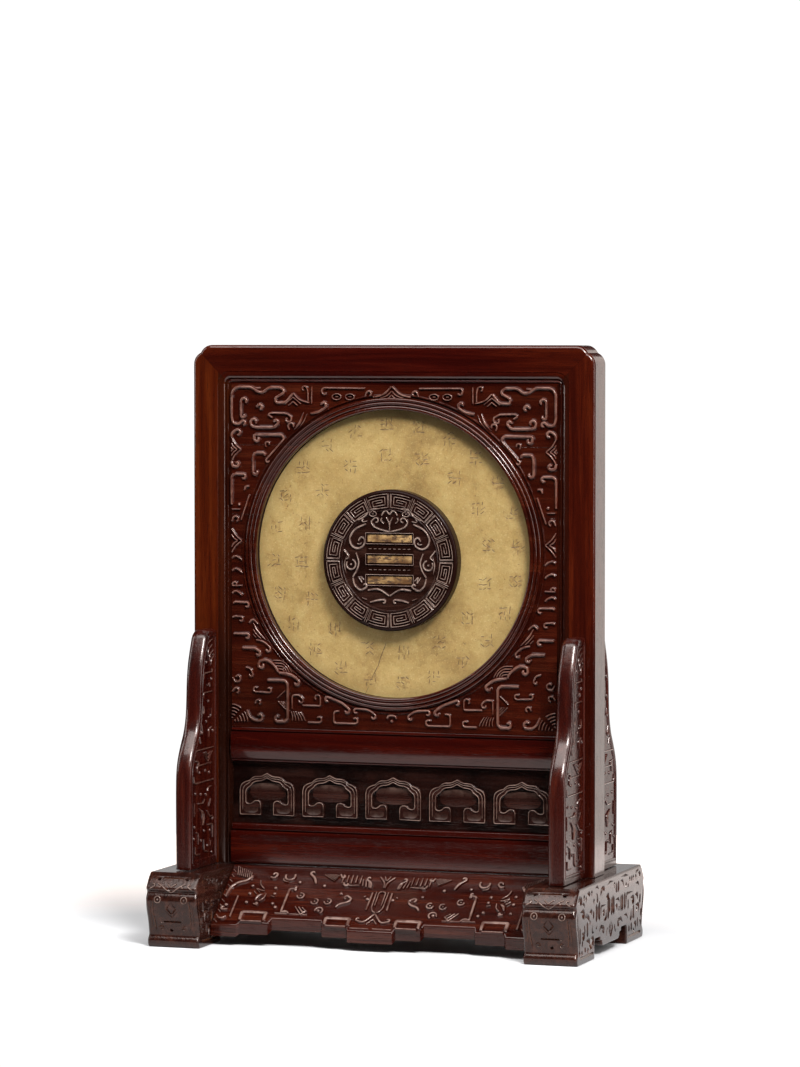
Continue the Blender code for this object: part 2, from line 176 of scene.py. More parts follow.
class Finish(Nodes):
    """One material, built on a Principled shader; constants are what stays the same all over it."""

    def __init__(self, name, constants):
        self.material = bpy.data.materials.new(name)
        self.material.use_nodes = True
        super().__init__(self.material.node_tree)
        self.shader = self.tree.nodes["Principled BSDF"]
        for socket, value in constants.items():
            self.set(socket, value)

    def set(self, socket, value):
        self.feed(self.shader.inputs[socket], value)

    def place(self, stretch=(1, 1, 1)):
        """Where a point lies, in metres, with each direction scaled."""
        where = self.node("ShaderNodeTexCoord", {}, {}, "Object")
        return self.node("ShaderNodeVectorMath", {"operation": "MULTIPLY"}, {0: where, 1: stretch})

    def along(self, axis):
        """How far a point lies along an axis, in metres."""
        return self.node("ShaderNodeSeparateXYZ", {}, {"Vector": self.place()}, axis)

    def noise(self, where, scale, detail=3, roughness=0.55, distortion=0):
        inputs = {"Vector": where, "Scale": scale, "Detail": detail, "Roughness": roughness}
        return self.node("ShaderNodeTexNoise", {}, {**inputs, "Distortion": distortion})

    def ramp(self, share, stops):
        """Colours along a value, as pairs of a place and three numbers."""
        return self.node("ShaderNodeValToRGB", {"stops": stops}, {"Fac": share})

    def blend(self, share, first, second):
        """Two colours mixed; a plain colour is given as three numbers."""
        first, second = [(*colour, 1) if isinstance(colour, tuple) else colour for colour in (first, second)]
        return self.node("ShaderNodeMix", {"data_type": "RGBA"}, {0: share, 6: first, 7: second}, 2)

    def attribute(self, name):
        """A value stored on the points of the mesh."""
        return self.node("ShaderNodeAttribute", {"attribute_name": name}, {}, "Fac")

    def bump(self, height, distance):
        inputs = {"Height": height, "Distance": distance, "Strength": 1.0}
        self.set("Normal", self.node("ShaderNodeBump", {}, inputs, "Normal"))


world = bpy.data.worlds.new("studio")
world.use_nodes = True
bpy.context.scene.world = world
room = Nodes(world.node_tree)
surround = world.node_tree.nodes["Background"]
room.feed(surround.inputs["Color"], WHITE)
room.feed(surround.inputs["Strength"], ROOM_LIGHT)
backdrop = room.node("ShaderNodeBackground", {}, {"Color": WHITE, "Strength": BACKDROP_LIGHT})
seen = room.node("ShaderNodeLightPath", {}, {}, "Is Camera Ray")
shown = room.node("ShaderNodeMixShader", {}, {0: seen, 1: Value(room, surround.outputs[0]), 2: backdrop})
room.feed(world.node_tree.nodes["World Output"].inputs["Surface"], shown)

FLOOR_REACH = (0.52, 0.44)  # to the sides, and front and back
FLOOR_SET_BACK = 0.12
FLOOR_SIDES = 96
FLOOR_TONE = (0.80, 0.80, 0.81, 1)
EDGE_GLOW = (1, 0.80, 0.70)  # lifts the floor's edge until it melts into the backdrop

floor_paint = Finish("studio_floor", {"Base Color": FLOOR_TONE, "Roughness": 0.6, "Emission Strength": 0.9})
outwards = floor_paint.along("X").size() * 0.6 + floor_paint.along("Y")
glow = floor_paint.blend(outwards.step(0.17, 0.46, "LINEAR"), (0, 0, 0), EDGE_GLOW)
floor_paint.set("Emission Color", glow)
floor_edge = []
for side in range(FLOOR_SIDES):
    turn = math.tau * side / FLOOR_SIDES
    floor_edge.append((FLOOR_REACH[0] * math.cos(turn), FLOOR_SET_BACK + FLOOR_REACH[1] * math.sin(turn), 0))
floor_mesh = bpy.data.meshes.new("floor")
floor_mesh.from_pydata(floor_edge, [], [tuple(range(FLOOR_SIDES))])
floor_mesh.materials.append(floor_paint.material)
floor = bpy.data.objects.new("floor", floor_mesh)
bpy.context.scene.collection.objects.link(floor)

# ------------------------------------------------- the frame: two stiles and a top rail
# Three lengths of one moulded redwood section, mitred at the top corners, where the outline is notched.
# A round bead runs inside the moulding and turns the top corners in a small curve. Oiled and hand polished.

ALONG_GRAIN = 0.045  # how slowly the figure of the wood changes along the grain
BAND_PLACES = (0.30, 0.50, 0.72)  # of the three tones, in the noise that makes the figure
CENTRE_TO_ENDS = (0.035, 0.115)  # where a rail's tones change, out from its middle, in metres
AGE_AND_SHADE_TONE = (0.008, 0.002, 0.001)


def redwood(name, grain, tones, roughness=0.13, coat=0.25, shine=0.5, ends=None, age_and_shade=None, **carved):
    """Polished wood with its grain along one axis, in a dark, a middle and a light tone.

    shine is how much polish it took, ends are the tones towards a rail's ends and age_and_shade gives where
    it is
    darkened: by age, and on the stiles by painted shade. On carved work, worn is the tone of the crests,
    partly wear and partly a painted highlight; sunken is that of the ground where it isn't nearly black, the
    low ground being painted darker as shade, with dust and wax in it too; and tooled is how uneven the chisel
    left the surface.
    """
    dark = tones[0]
    constants = {"Coat Roughness": 0.06, "IOR": 1.45, "Specular IOR Level": shine}
    finish = Finish(name, {**constants, "Specular Tint": (1, 0.86, 0.80, 1)})
    where = finish.place(tuple(ALONG_GRAIN if axis == grain else 1 for axis in "XYZ"))
    bands = finish.noise(where, 230, 4, 0.6, 0.6)
    fibres = finish.noise(where, 1500, 3, 0.6)
    pores = finish.noise(where, 3600, 2, 0.5)
    colour = finish.ramp(bands, list(zip(BAND_PLACES, tones)))
    if ends:
        far = finish.along("X").size().step(*CENTRE_TO_ENDS)
        colour = finish.blend(far, colour, finish.ramp(bands, list(zip(BAND_PLACES, ends))))
    streak = fibres.step(0.52, 0.66) * 0.55
    colour = finish.blend(streak, colour, dark)
    pore = pores.step(0.60, 0.68)
    colour = finish.blend(pore * 0.6, colour, tuple(0.35 * c for c in dark))
    cloud = finish.noise(finish.place(), 45, 2)
    gloss = roughness + cloud.step(0.35, 0.75) * 0.05 + streak * 0.10 + pore * 0.08
    relief = 0.3 * bands + 0.15 * fibres - 0.2 * pore
    if carved:
        crest = finish.attribute("crest")
        rubbed = finish.noise(finish.place(), 210, 2, 0.6)
        # the crests are painted lighter: partly wear, partly a painted highlight
        top = crest.step(0.62, 1.0) * (0.35 + 0.65 * rubbed.step(0.36, 0.58))
        colour = finish.blend(top * 0.65, colour, carved["worn"])
        # painted shade: the low ground of carved work is darker, with dust and wax in it too; a sunken tone
        # replaces the near-black where one is given
        sunk = crest.step(0.42, 0.0) * (0.5 + 0.4 * cloud.step(0.40, 0.62))
        colour = finish.blend(sunk, colour, carved.get("sunken", tuple(0.15 * c for c in dark)))
        gloss = gloss - top * 0.04
        relief = relief + carved.get("tooled", 0.6) * finish.noise(finish.place(), 620, 2, 0.5)
    # darkened where age has blackened the wood, and on the stiles where shade is painted into it
    if age_and_shade:
        age_and_shade_share = age_and_shade(finish)
        colour = finish.blend(age_and_shade_share * 0.85, colour, AGE_AND_SHADE_TONE)
        relief = relief - 4 * age_and_shade_share
    finish.set("Base Color", colour)
    finish.set("Roughness", gloss)
    finish.set("Coat Weight", coat - coat * pore)
    finish.bump(relief, 0.00004)
    return finish.material


def fit_piece(name, part, material, slot, *nodes, crisp=32, weld=False):
    """Make a piece of the screen and fix it in, in place of the plain solids of those nodes.

    part is its points in millimetres, its faces and, on carved work, a crest value for each point. It is
    smooth but for edges sharper than crisp, in degrees.
    """
    points, faces, *crest = part
    mesh = bpy.data.meshes.new(name)
    mesh.from_pydata((np.asarray(points, float) * 0.001).tolist(), [], faces)
    mesh.validate()
    if crest:
        stored = mesh.attributes.new("crest", "FLOAT", "POINT")
        stored.data.foreach_set("value", np.asarray(crest[0], np.float32))
    if weld:
        build = bmesh.new()
        build.from_mesh(mesh)
        bmesh.ops.remove_doubles(build, verts=build.verts, dist=0.000008)
        build.to_mesh(mesh)
        build.free()
    mesh.materials.append(material)
    mesh.shade_smooth()
    mesh.set_sharp_from_angle(angle=math.radians(crisp))
    piece = bpy.data.objects.new(name, mesh)
    bpy.context.scene.collection.objects.link(piece)
    even = piece.modifiers.new("even shading", "WEIGHTED_NORMAL")
    even.keep_sharp = True
    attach(piece, "root")
    if nodes:
        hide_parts(*nodes)
    return piece


def arc(centre, radius, start, end, steps):
    """Points on a circle, or an ellipse where radius is a pair, between two angles in degrees."""
    wide, tall = radius if isinstance(radius, tuple) else (radius, radius)
    angles = np.radians(np.linspace(start, end, steps + 1))
    return [(centre[0] + wide * math.cos(a), centre[1] + tall * math.sin(a)) for a in angles]


def skin(rows):
    """Points and faces of a surface through closed rows of as many points each, its two ends closed."""
    count = len(rows[0])
    points = [p for row in rows for p in row]
    faces = []
    for r in range(len(rows) - 1):
        for i in range(count):
            a = r * count + i
            b = r * count + (i + 1) % count
            faces.append((a, b, b + count, a + count))
    faces.append(tuple(range(count - 1, -1, -1)))
    faces.append(tuple(range((len(rows) - 1) * count, len(rows) * count)))
    return points, faces


def millimetres(node):
    """The lowest and highest corners of a plain solid, in millimetres."""
    low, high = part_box(node)
    return np.array(low) * 1000, np.array(high) * 1000


rail_low, rail_high = millimetres("top_rail")
FRAME_HALF = millimetres("stile_right")[1][0]
FRAME_TOP = rail_high[2]
FRAME_FRONT, FRAME_BACK = rail_low[1], rail_high[1]
MEMBER = 22.6  # the width of a stile and of the top rail
GROOVE = (-6.0, 9.3)  # front to back, for the boards that the frame holds
GROOVE_DEPTH = 4
NOTCH = 4.3  # how far the notch cuts into each outer corner
CORNER = 7.4
BEAD_CORNER = 22.6  # both ways in from the corner, the middle of the bead's curve
CORNER_START = 30
MITRE_GAP = 0.05


def frame_section():
    """Round a member: distance in from its outer edge, place front to back, and how it takes the corner."""
    front, back = FRAME_FRONT, FRAME_BACK
    bead = arc((15.4, front + 2.5), (3.8, 2.15), 275, 345, 9) + [(19.25, front + 2.9), (19.6, front + 2.95)]
    bead += arc((20.3, front + 2.75), (0.62, 0.6), 190, 350, 6)
    floor = MEMBER - GROOVE_DEPTH
    slot = [(MEMBER, GROOVE[0]), (floor, GROOVE[0]), (floor, GROOVE[1]), (MEMBER, GROOVE[1])]
    behind = [(MEMBER, back - 0.8), (MEMBER - 0.3, back - 0.2), (MEMBER - 0.9, back), (8.0, back)]
    parts = (
        ("edge", arc((2.3, front + 2.1), (2.3, 2.1), 180, 270, 7)),
        ("flat", [(8.0, front)]),
        ("bead", [(14.8, front), (15.0, front + 0.06), (15.15, front + 0.4), *bead, (21.1, front + 3.25)]),
        ("flat", [(MEMBER, front + 3.3), *slot, *behind]),
        ("edge", arc((2.3, back - 2.1), (2.3, 2.1), 90, 180, 7)),
    )
    return [(inward, depth, kind) for kind, points in parts for inward, depth in points]


def corner_line(inward, kind, steps=12):
    """One line of the moulding up to the mitre: how far in from the outer edge, and along from the corner."""
    if kind == "flat":
        return [(inward, along) for along in np.linspace(CORNER_START, inward, steps + 2)]
    if kind == "bead":
        turn = arc((BEAD_CORNER, BEAD_CORNER), BEAD_CORNER - inward, 180, 225, steps)
    else:
        start = NOTCH + math.sqrt(CORNER**2 - (CORNER - NOTCH) ** 2)
        radius = CORNER - inward
        sweep = math.degrees(math.acos((CORNER - start) / (radius * math.sqrt(2)))) - 45
        turn = arc((CORNER, start), radius, 180, 180 + sweep, steps)
    return [(inward, CORNER_START)] + turn


def frame_member(lay, length=None):
    """A member up to its mitre, from its straight end where a length is given.

    lay turns a distance in from the outer edge, one along from the corner, and a depth into a point.
    """
    section = frame_section()
    lines = [corner_line(inward, kind) for inward, depth, kind in section]
    rows = []
    if length:
        rows.append([lay(inward, length, depth) for inward, depth, kind in section])
    for step in zip(*lines):
        rows.append([lay(a, b + MITRE_GAP, depth) for (a, b), (inward, depth, kind) in zip(step, section)])
    return rows


def upright(side):
    return lambda inward, along, depth: (side * (FRAME_HALF - inward), depth, FRAME_TOP - along)


def level(side):
    return lambda inward, along, depth: (side * (FRAME_HALF - along), depth, FRAME_TOP - inward)


def flipped(faces):
    """The faces turned over, for a piece or a part of it that is made as a mirror image."""
    return [face[::-1] for face in faces]


LEFT_TONES = ((0.026, 0.0026, 0.0007), (0.050, 0.0062, 0.0011), (0.086, 0.0145, 0.0024))
RIGHT_TONES = ((0.019, 0.0015, 0.0006), (0.036, 0.0034, 0.0010), (0.064, 0.0085, 0.0020))
RAIL_TONES = ((0.014, 0.0007, 0.0004), (0.025, 0.0015, 0.0007), (0.046, 0.0040, 0.0016))


def painted_stile_shade(finish):
    """Where the stiles are painted darker as shade: along their inner mouldings, and low between the
    brackets.
    """
    inner = finish.along("X").size().step(0.001 * (FRAME_HALF - 14.9), 0.001 * (FRAME_HALF - 15.5))
    return 0.7 * inner + 0.38 * finish.along("Z").step(0.190, 0.150)


stile_length = FRAME_TOP - millimetres("stile_left")[0][2]
for side, hand, tones in ((-1, "left", LEFT_TONES), (1, "right", RIGHT_TONES)):
    stile_wood = redwood(f"redwood_{hand}", "Z", tones, age_and_shade=painted_stile_shade)
    points, faces = skin(frame_member(upright(side), stile_length))
    if side < 0:
        faces = flipped(faces)
    fit_piece(f"moulded_stile_{hand}", (points, faces), stile_wood, "red_wood", f"stile_{hand}")

top_wood = redwood("redwood_top", "X", RAIL_TONES, ends=RIGHT_TONES)
rows = frame_member(level(-1))[::-1] + frame_member(level(1))
fit_piece("moulded_top_rail", skin(rows), top_wood, "red_wood", "top_rail")

# ------------------------------------------------------------- the two lower rails
# Lengths of redwood tenoned between the stiles. Each has a narrow strip along its top, then a face that turns
# slowly under, and the upper one a fine bead where the cloud-head panel enters it from below.


def rail_section(bottom, top, strip, tall, lean, turn, grooved_below):
    """Round a rail from its top, as place front to back and height.

    strip is the height of the strip along its top, and tall that of its face; lean is how far the face leans
    back at first, in degrees, and turn how far it has turned under at its foot.
    """
    front, back = FRAME_FRONT, FRAME_BACK
    quirk = front + 3.0
    ledge = top - strip - 0.8
    section = [(front + 3.3, top - 0.2), *arc((front + 2.3, top - 0.6), (0.3, 0.32), 85, 180, 4)]
    section += arc((front + 2.3, top - strip + 0.2), (0.36, 0.4), 180, 260, 4)
    section += [(quirk, ledge + 0.5), (quirk, ledge), (front + 0.75, ledge)]
    section += arc((front + 7, ledge - 2.6), 7, 159, 180 - lean, 6)[:-1]
    sine, cosine = math.sin(math.radians(turn)), math.cos(math.radians(turn))
    sweep = tall / (sine + math.sin(math.radians(lean)))
    section += arc((front + sweep, bottom + 1.6 + sweep * sine), sweep, 180 - lean, 180 + turn, 10)
    inward = front + sweep * (1 - cosine)
    if grooved_below:
        floor = bottom + GROOVE_DEPTH
        bead = inward + 0.9
        section += [(inward + 0.3, bottom + 1.3), (bead, bottom + 1.15), (bead, bottom + 0.95)]
        section += arc((bead, bottom + 0.5), (0.45, 0.42), 110, 250, 6)
        section += [(GROOVE[0], bottom), (GROOVE[0], floor), (GROOVE[1], floor), (GROOVE[1], bottom)]
    else:
        section += [(inward + 0.4, bottom + 0.5), (inward + 1.0, bottom)]
    section += [(back - 0.8, bottom), (back, bottom + 0.8), (back, top - 0.8), (back - 0.8, top)]
    floor = top - GROOVE_DEPTH
    return section + [(GROOVE[1], top), (GROOVE[1], floor), (GROOVE[0], floor), (GROOVE[0], top)]


LOW_TONES = ((0.015, 0.0008, 0.0004), (0.027, 0.0018, 0.0008), (0.050, 0.0050, 0.0018))
for node, material_name, tones, shape in (
    ("middle_rail", "redwood_level", RAIL_TONES, (1.9, 9.5, 0, 15, True)),
    ("bottom_rail", "redwood_low", LOW_TONES, (3.3, 12.4, 1.8, 1.8, False)),
):
    low, high = millimetres(node)
    section = rail_section(low[2], high[2], *shape)
    rows = [[(x, y, z) for y, z in section] for x in (low[0], high[0])]
    rail_wood = redwood(material_name, "X", tones, roughness=0.12, coat=0.1)
    fit_piece(f"moulded_{node}", skin(rows), rail_wood, "red_wood", node)

# ------------------------------------------------------------- the carved panel
# One square board of redwood, held by its edges in the frame's grooves, with a round opening for the disc.
# The ground is cut back to leave archaic dragon scrolls, each line left as a rounded ridge.

TIP_STEPS = 3  # rounds the ends of a stroke
# across a ridge: share of its half width, share of its height (None where it meets the ground) and crest; the
# low crest at its foot paints a line of shade, the high one at its top a painted highlight
ACROSS = [(-1.3, None, 0.2), (-1.12, 0.04, 0.0), (-0.92, 0.34, 0.3), (-0.62, 0.82, 0.8), (-0.28, 0.97, 0.97)]
ACROSS += [(0.0, 1.0, 1.0)] + [(-share, lift, crest) for share, lift, crest in ACROSS[::-1]]
SUNK = 0.25  # how far the edges of carved work run into the ground


def rounded(points, radius, steps=4):
    """A path through the points, in millimetres, with its corners turned in curves."""
    points = [np.array(p, float) for p in points]
    path = [points[0]]
    for before, here, after in zip(points, points[1:], points[2:]):
        back, ahead = before - here, after - here
        reach = min(radius, 0.48 * np.hypot(*back), 0.48 * np.hypot(*ahead))
        start = here + back / np.hypot(*back) * reach
        end = here + ahead / np.hypot(*ahead) * reach
        for t in np.linspace(0, 1, steps + 1):
            path.append((1 - t) ** 2 * start + 2 * t * (1 - t) * here + t**2 * end)
    return path + [points[-1]]


def curled(path, radius, turn=250, tighten=0.55, steps=11):
    """The path with a curl after its last point, to the left, or to the right where radius is below 0."""
    heading = path[-1] - path[-2]
    angle = math.atan2(heading[1], heading[0])
    at = path[-1]
    run = list(path)
    for i in range(steps):
        share = (i + 0.5) / steps
        step = math.radians(turn) / steps
        reach = abs(radius) * (1 - (1 - tighten) * share)
        angle += math.copysign(step, radius)
        at = at + reach * step * np.array([math.cos(angle), math.sin(angle)])
        run.append(at)
    return run


def thinned(path, shortest=0.12):
    """The path without points that lie almost on the one before."""
    kept = [path[0]]
    for point in path[1:]:
        if np.hypot(*(point - kept[-1])) > shortest:
            kept.append(point)
    return np.array(kept)


def plain(part, crest):
    """Points and faces with the same crest value all over."""
    points, faces = part
    return points, faces, [crest] * len(points)


def joined(*parts):
    """One part of several, each given as its points, faces and crest values."""
    points, faces, crest = [], [], []
    for more_points, more_faces, more_crest in parts:
        count = len(points)
        points += more_points
        faces += [tuple(count + i for i in face) for face in more_faces]
        crest += more_crest
    return points, faces, crest


def mirror_image(part):
    """A part turned round, left for right."""
    points, faces, crest = part
    return [(-x, y, z) for x, y, z in points], flipped(faces), crest


class Carving:
    """Ridges and studs drawn flat, in millimetres, and laid on a face."""

    def __init__(self, lay, width=2.2, height=1.5, longest=None):
        self.lay = lay  # turns across, up and lift into a point
        self.width = width
        self.height = height
        self.longest = longest  # the longest straight step, on faces that curve
        self.points = []
        self.faces = []
        self.crest = []
        self.random = np.random.default_rng(5)  # the unsteadiness of a hand

    def add(self, grid, lifts, crests):
        """Rows of points across a ridge, joined into a strip."""
        start = len(self.points)
        rows, count = len(grid), len(grid[0])
        for row, lift, crest in zip(grid, lifts, crests):
            for (a, b), h, c in zip(row, lift, crest):
                self.points.append(self.lay(a, b, h))
                self.crest.append(c)
        for r in range(rows - 1):
            for i in range(count - 1):
                a = start + r * count + i
                self.faces.append((a, a + 1, a + 1 + count, a + count))

    def ridge(self, points, width=None, height=None, corner=1.6, start=0, end=0, taper=0.0, tips=1.0):
        """A rounded ridge along a path. start and end curl it; taper thins it towards both ends."""
        width = width or self.width
        height = height or self.height
        path = rounded(points, corner)
        if end:
            path = curled(path, end)
        if start:
            path = curled(path[::-1], start)[::-1]
        path = thinned(path)
        if self.longest:
            path = self.divided(path)
        along = np.concatenate([[0], np.cumsum(np.hypot(*np.diff(path, axis=0).T))])
        half = width / 2
        tip = min(half * tips, along[-1] / 2.5)
        stops = [tip * (1 - math.cos(math.pi / 2 * k / TIP_STEPS)) for k in range(TIP_STEPS)]
        inner = along[(along > tip) & (along < along[-1] - tip)]
        places = np.concatenate([stops, inner, (along[-1] - np.array(stops))[::-1]])
        line = np.stack([np.interp(places, along, path[:, k]) for k in (0, 1)], 1)
        slope = np.gradient(line, places, axis=0)
        slope /= np.hypot(*slope.T)[:, None] + 1e-9
        side = np.stack([slope[:, 1], -slope[:, 0]], 1)
        ends = np.minimum(places, along[-1] - places)
        fullness = np.sqrt(np.clip(1 - (1 - np.clip(ends / tip, 0, 1)) ** 2, 0.02, 1))
        if taper:
            fullness = fullness * (1 - taper * (1 - np.clip(ends / (0.45 * along[-1]), 0, 1)))
        wobble = 1 + 0.06 * self.random.standard_normal(len(places)).cumsum().clip(-1, 1)
        grid, lifts, crests = [], [], []
        for at, out, full, sway in zip(line, side, fullness, wobble):
            reach = half * full * sway
            grid.append([at + out * reach * share for share, lift, crest in ACROSS])
            tall = height * min(1, 0.25 + 0.75 * full)
            lifts.append([-SUNK if lift is None else tall * lift for share, lift, crest in ACROSS])
            crests.append([crest * (0.35 + 0.65 * full) for share, lift, crest in ACROSS])
        self.add(grid, lifts, crests)

    def divided(self, path):
        """The path with more points along its straight runs."""
        parts = [path[:1]]
        for a, b in zip(path, path[1:]):
            count = max(1, math.ceil(np.hypot(*(b - a)) / self.longest))
            parts.append(a + (b - a) * np.linspace(0, 1, count + 1)[1:, None])
        return np.concatenate(parts)

    def stud(self, across, up, radius=1.0, height=None, sides=12):
        """A small dome."""
        height = height or self.height
        grid, lifts, crests = [], [], []
        turns = [math.tau * i / sides for i in range(sides + 1)]
        for reach, lift in ((1.0, None), (0.9, 0.45), (0.62, 0.82), (0.3, 0.97), (0.02, 1.0)):
            size = radius * reach
            grid.append([(across + size * math.cos(t), up - size * math.sin(t)) for t in turns])
            lifts.append([-SUNK if lift is None else height * lift] * (sides + 1))
            crests.append([0.0 if lift is None else lift] * (sides + 1))
        self.add(grid, lifts, crests)

    def eye(self, across, up, radius=1.9, height=None):
        """A ring round a stud."""
        loop = arc((across, up), (radius, radius), 90, -282, 18)
        self.ridge(loop, width=0.42 * radius, height=height, corner=0.1)
        self.stud(across, up, 0.42 * radius, height)

    def part(self):
        return self.points, self.faces, self.crest

    def mirrored(self):
        """Add the mirror image of all that is carved so far, left for right."""
        self.points, self.faces, self.crest = joined(self.part(), mirror_image(self.part()))


panel_low, panel_high = millimetres("carved_panel")
PANEL_FACE = -8.8
TONGUE_FACE = GROOVE[0] + 0.3
DISC_HEIGHT = 222.3
OPENING = 82.0  # its radius
RING = 9.3  # the width of the round moulding
REBATE = 88.0  # the radius of the disc's seat
REBATE_FLOOR = millimetres("jade_disc")[0][1] - 0.3
PANEL_EDGE = FRAME_HALF - MEMBER - 0.05  # where the board's face meets the bead
PANEL_BOTTOM = millimetres("middle_rail")[1][2] + 0.05
PANEL_TOP = FRAME_TOP - MEMBER - 0.05
RING_SIDES = 240


def ring_moulding():
    """The round moulding's reach from the disc's middle, and place front to back, from the disc outwards."""
    inner = [(OPENING, -8.2)] + arc((OPENING + 1.25, -9.9), (1.25, 1.25), 180, 345, 7)
    middle = arc((OPENING + 3.65, -10.0), (1.05, 1.4), 195, 345, 7)
    outer = arc((OPENING + 5.85, -9.6), (1.05, 1.3), 195, 350, 7)
    groove = [(OPENING + 7.2, -8.5), (OPENING + 8.0, -8.45)]
    fillet = arc((OPENING + 8.7, -9.0), (0.5, 0.75), 190, 360, 5)
    return inner + middle + outer + groove + fillet + [(OPENING + RING, PANEL_FACE)]


def square_reach(turn, left, bottom, right, top):
    """How far a square's edge is from the disc's middle, in the direction of turn."""
    c, s = math.cos(turn), math.sin(turn)
    reaches = []
    if abs(c) > 1e-9:
        reaches.append((right if c > 0 else left) / c)
    if abs(s) > 1e-9:
        reaches.append(((top if s > 0 else bottom) - DISC_HEIGHT) / s)
    return min(reaches)


def pierced_board():
    """The board as rings of points, from the rebate behind, through the opening and round to its back."""
    face_square = (-PANEL_EDGE, PANEL_BOTTOM, PANEL_EDGE, PANEL_TOP)
    tongue = (panel_low[0], panel_low[2], panel_high[0], panel_high[2])
    turns = {math.tau * (i / RING_SIDES - 0.5) for i in range(RING_SIDES)}
    for left, bottom, right, top in (face_square, tongue):
        turns |= {math.atan2(z - DISC_HEIGHT, x) for x in (left, right) for z in (bottom, top)}
    turns = sorted(turns)
    rows = []

    def round_row(radius, depth):
        rows.append([(radius * math.cos(t), depth, DISC_HEIGHT + radius * math.sin(t)) for t in turns])

    def square_row(edges, depth):
        reach = [square_reach(t, *edges) for t in turns]
        rows.append([(r * math.cos(t), depth, DISC_HEIGHT + r * math.sin(t)) for t, r in zip(turns, reach)])

    round_row(REBATE, panel_high[1])
    round_row(REBATE, REBATE_FLOOR)
    round_row(OPENING, REBATE_FLOOR)
    for radius, depth in ring_moulding():
        round_row(radius, depth)
    square_row(face_square, PANEL_FACE)
    square_row(face_square, TONGUE_FACE)
    square_row(tongue, TONGUE_FACE)
    square_row(tongue, panel_high[1])
    points, faces = skin(rows + [rows[0]])
    count = len(turns)
    last = len(rows) * count
    faces = [tuple(i % last for i in face) for face in faces[:-2]]
    return points[:last], flipped(faces)


carve = Carving(lambda a, b, lift: (a, PANEL_FACE - lift, b))
ridge, stud = carve.ridge, carve.stud


def fold(up, tip, spread):
    """A pointed fold at the side of the board: a line down to its tip and one up to it."""
    side = -97.4
    flank = [(side, up + spread), (0.5 * (tip + side) - 0.8, up + 0.42 * spread), (tip, up)]
    ridge(flank, width=1.1, corner=3)
    ridge([(x, 2 * up - z) for x, z in flank], width=1.1, corner=3)


# the upper corner: a dragon's head and limbs in squared scrolls
snout = [(-97.2, 305), (-97.2, 314), (-94.5, 317), (-85, 317), (-81.5, 314.2), (-78, 313.8), (-74.8, 316.7)]
snout += [(-67, 316.8), (-64.6, 314), (-70.6, 310.8), (-70.2, 308), (-64, 308.2), (-59.6, 313.6)]
ridge([(-91, 297.4), (-93, 295.6), (-96.2, 296), (-97.2, 299), *snout], start=-1.5, corner=2.2)
ridge([(-59.6, 313.6), (-56, 309.6), (-49.5, 308)], corner=3, width=1.3)
ridge([(-48.4, 307.6), (-48.3, 317.4)], width=1.3)
ridge([(-50.5, 308.6), (-50.6, 314.5), (-51.4, 316.8)], width=1.2, end=1.6)
ridge([(-64.5, 307.3), (-59.6, 311.2), (-54.8, 307.3)], width=0.9, corner=0.4)
ridge([(-62.6, 306.4), (-59.6, 308.8), (-56.8, 306.4)], width=0.9, corner=0.4)
ridge([(-83.6, 316.2), (-79.6, 316.4)], width=1.5, height=0.7)
ridge([(-91.6, 300.5), (-91.6, 309)], start=1.3, end=-2.0, corner=1)
ridge([(-82.4, 305.2), (-81, 306.6)], end=-1.6)
ridge([(-85.6, 296.8), (-85.2, 294.6), (-82, 293.9), (-71, 293.9), (-69, 296)], start=-2.0, end=1.5)
ridge([(-72, 299.3), (-75, 301), (-73.5, 302.2), (-64, 302), (-61.4, 300.6)], end=-2.2, width=1.6)
stud(-63.6, 298.9, 0.9)
ridge([(-61.8, 292.4), (-62.6, 294.3)], end=-2.0, width=1.4)
ridge([(-59.2, 292.6), (-55.4, 296.6), (-53.2, 302.6)], corner=6, width=2.2, taper=0.5)
ridge([(-56, 293.8), (-52.8, 297.6), (-51.2, 302)], corner=6, width=0.9, taper=0.4)
ridge([(-49.4, 302), (-44, 302.8), (-40.2, 305.3)], end=1.9, corner=4)
ridge([(-40.6, 316.6), (-16, 316.4)], start=2.1, width=1.5)
ridge([(-16, 311.6), (-15.2, 314)], end=-1.7, width=1.4)
for eye_at in (-33.2, -25.2):
    ridge(arc((eye_at, 311.6), (2.7, 1.7), 90, -282, 18), width=0.8, corner=0.1)
    ridge([(eye_at - 1, 311.6), (eye_at + 1, 311.6)], width=1.1, height=0.8)
ridge([(-11.5, 311.4), (-5, 312.6), (0, 317.7)], corner=5, width=1.4)
ridge([(-7, 310.9), (-2.8, 312.1), (0, 315)], corner=4, width=1.0)
ridge([(-4, 310.4), (-1.6, 311), (0, 312.8)], corner=3, width=0.9)

# the second limb, beside the ring
ridge([(-83.4, 287), (-83.6, 289.6), (-66.4, 289.8), (-65, 286.8)], start=1.6, corner=1.8)
ridge([(-65.2, 287.6), (-66.2, 286.2), (-76, 275.6)], end=1.2, width=1.6)
ridge([(-76, 282.4), (-76.6, 284)], end=-1.5, width=1.3)
ridge([(-76.6, 277.4), (-77.4, 279.4), (-83.4, 279.3), (-84.2, 276), (-84.2, 268)], end=1.6, corner=1.8)
ridge([(-97.3, 287.5), (-97.2, 290.5), (-94.5, 292.4)], end=-1.9, corner=2.2)
for tip, spread in ((-91.4, 7.0), (-93.8, 3.9), (-96.0, 1.6)):
    fold(281.1, tip, spread)
ridge([(-97.3, 274.6), (-97, 271.4), (-94.2, 271.3)], end=1.4)
ridge([(-97.4, 249), (-97.4, 265.6), (-95.5, 267.2), (-90, 267)], end=-1.5)

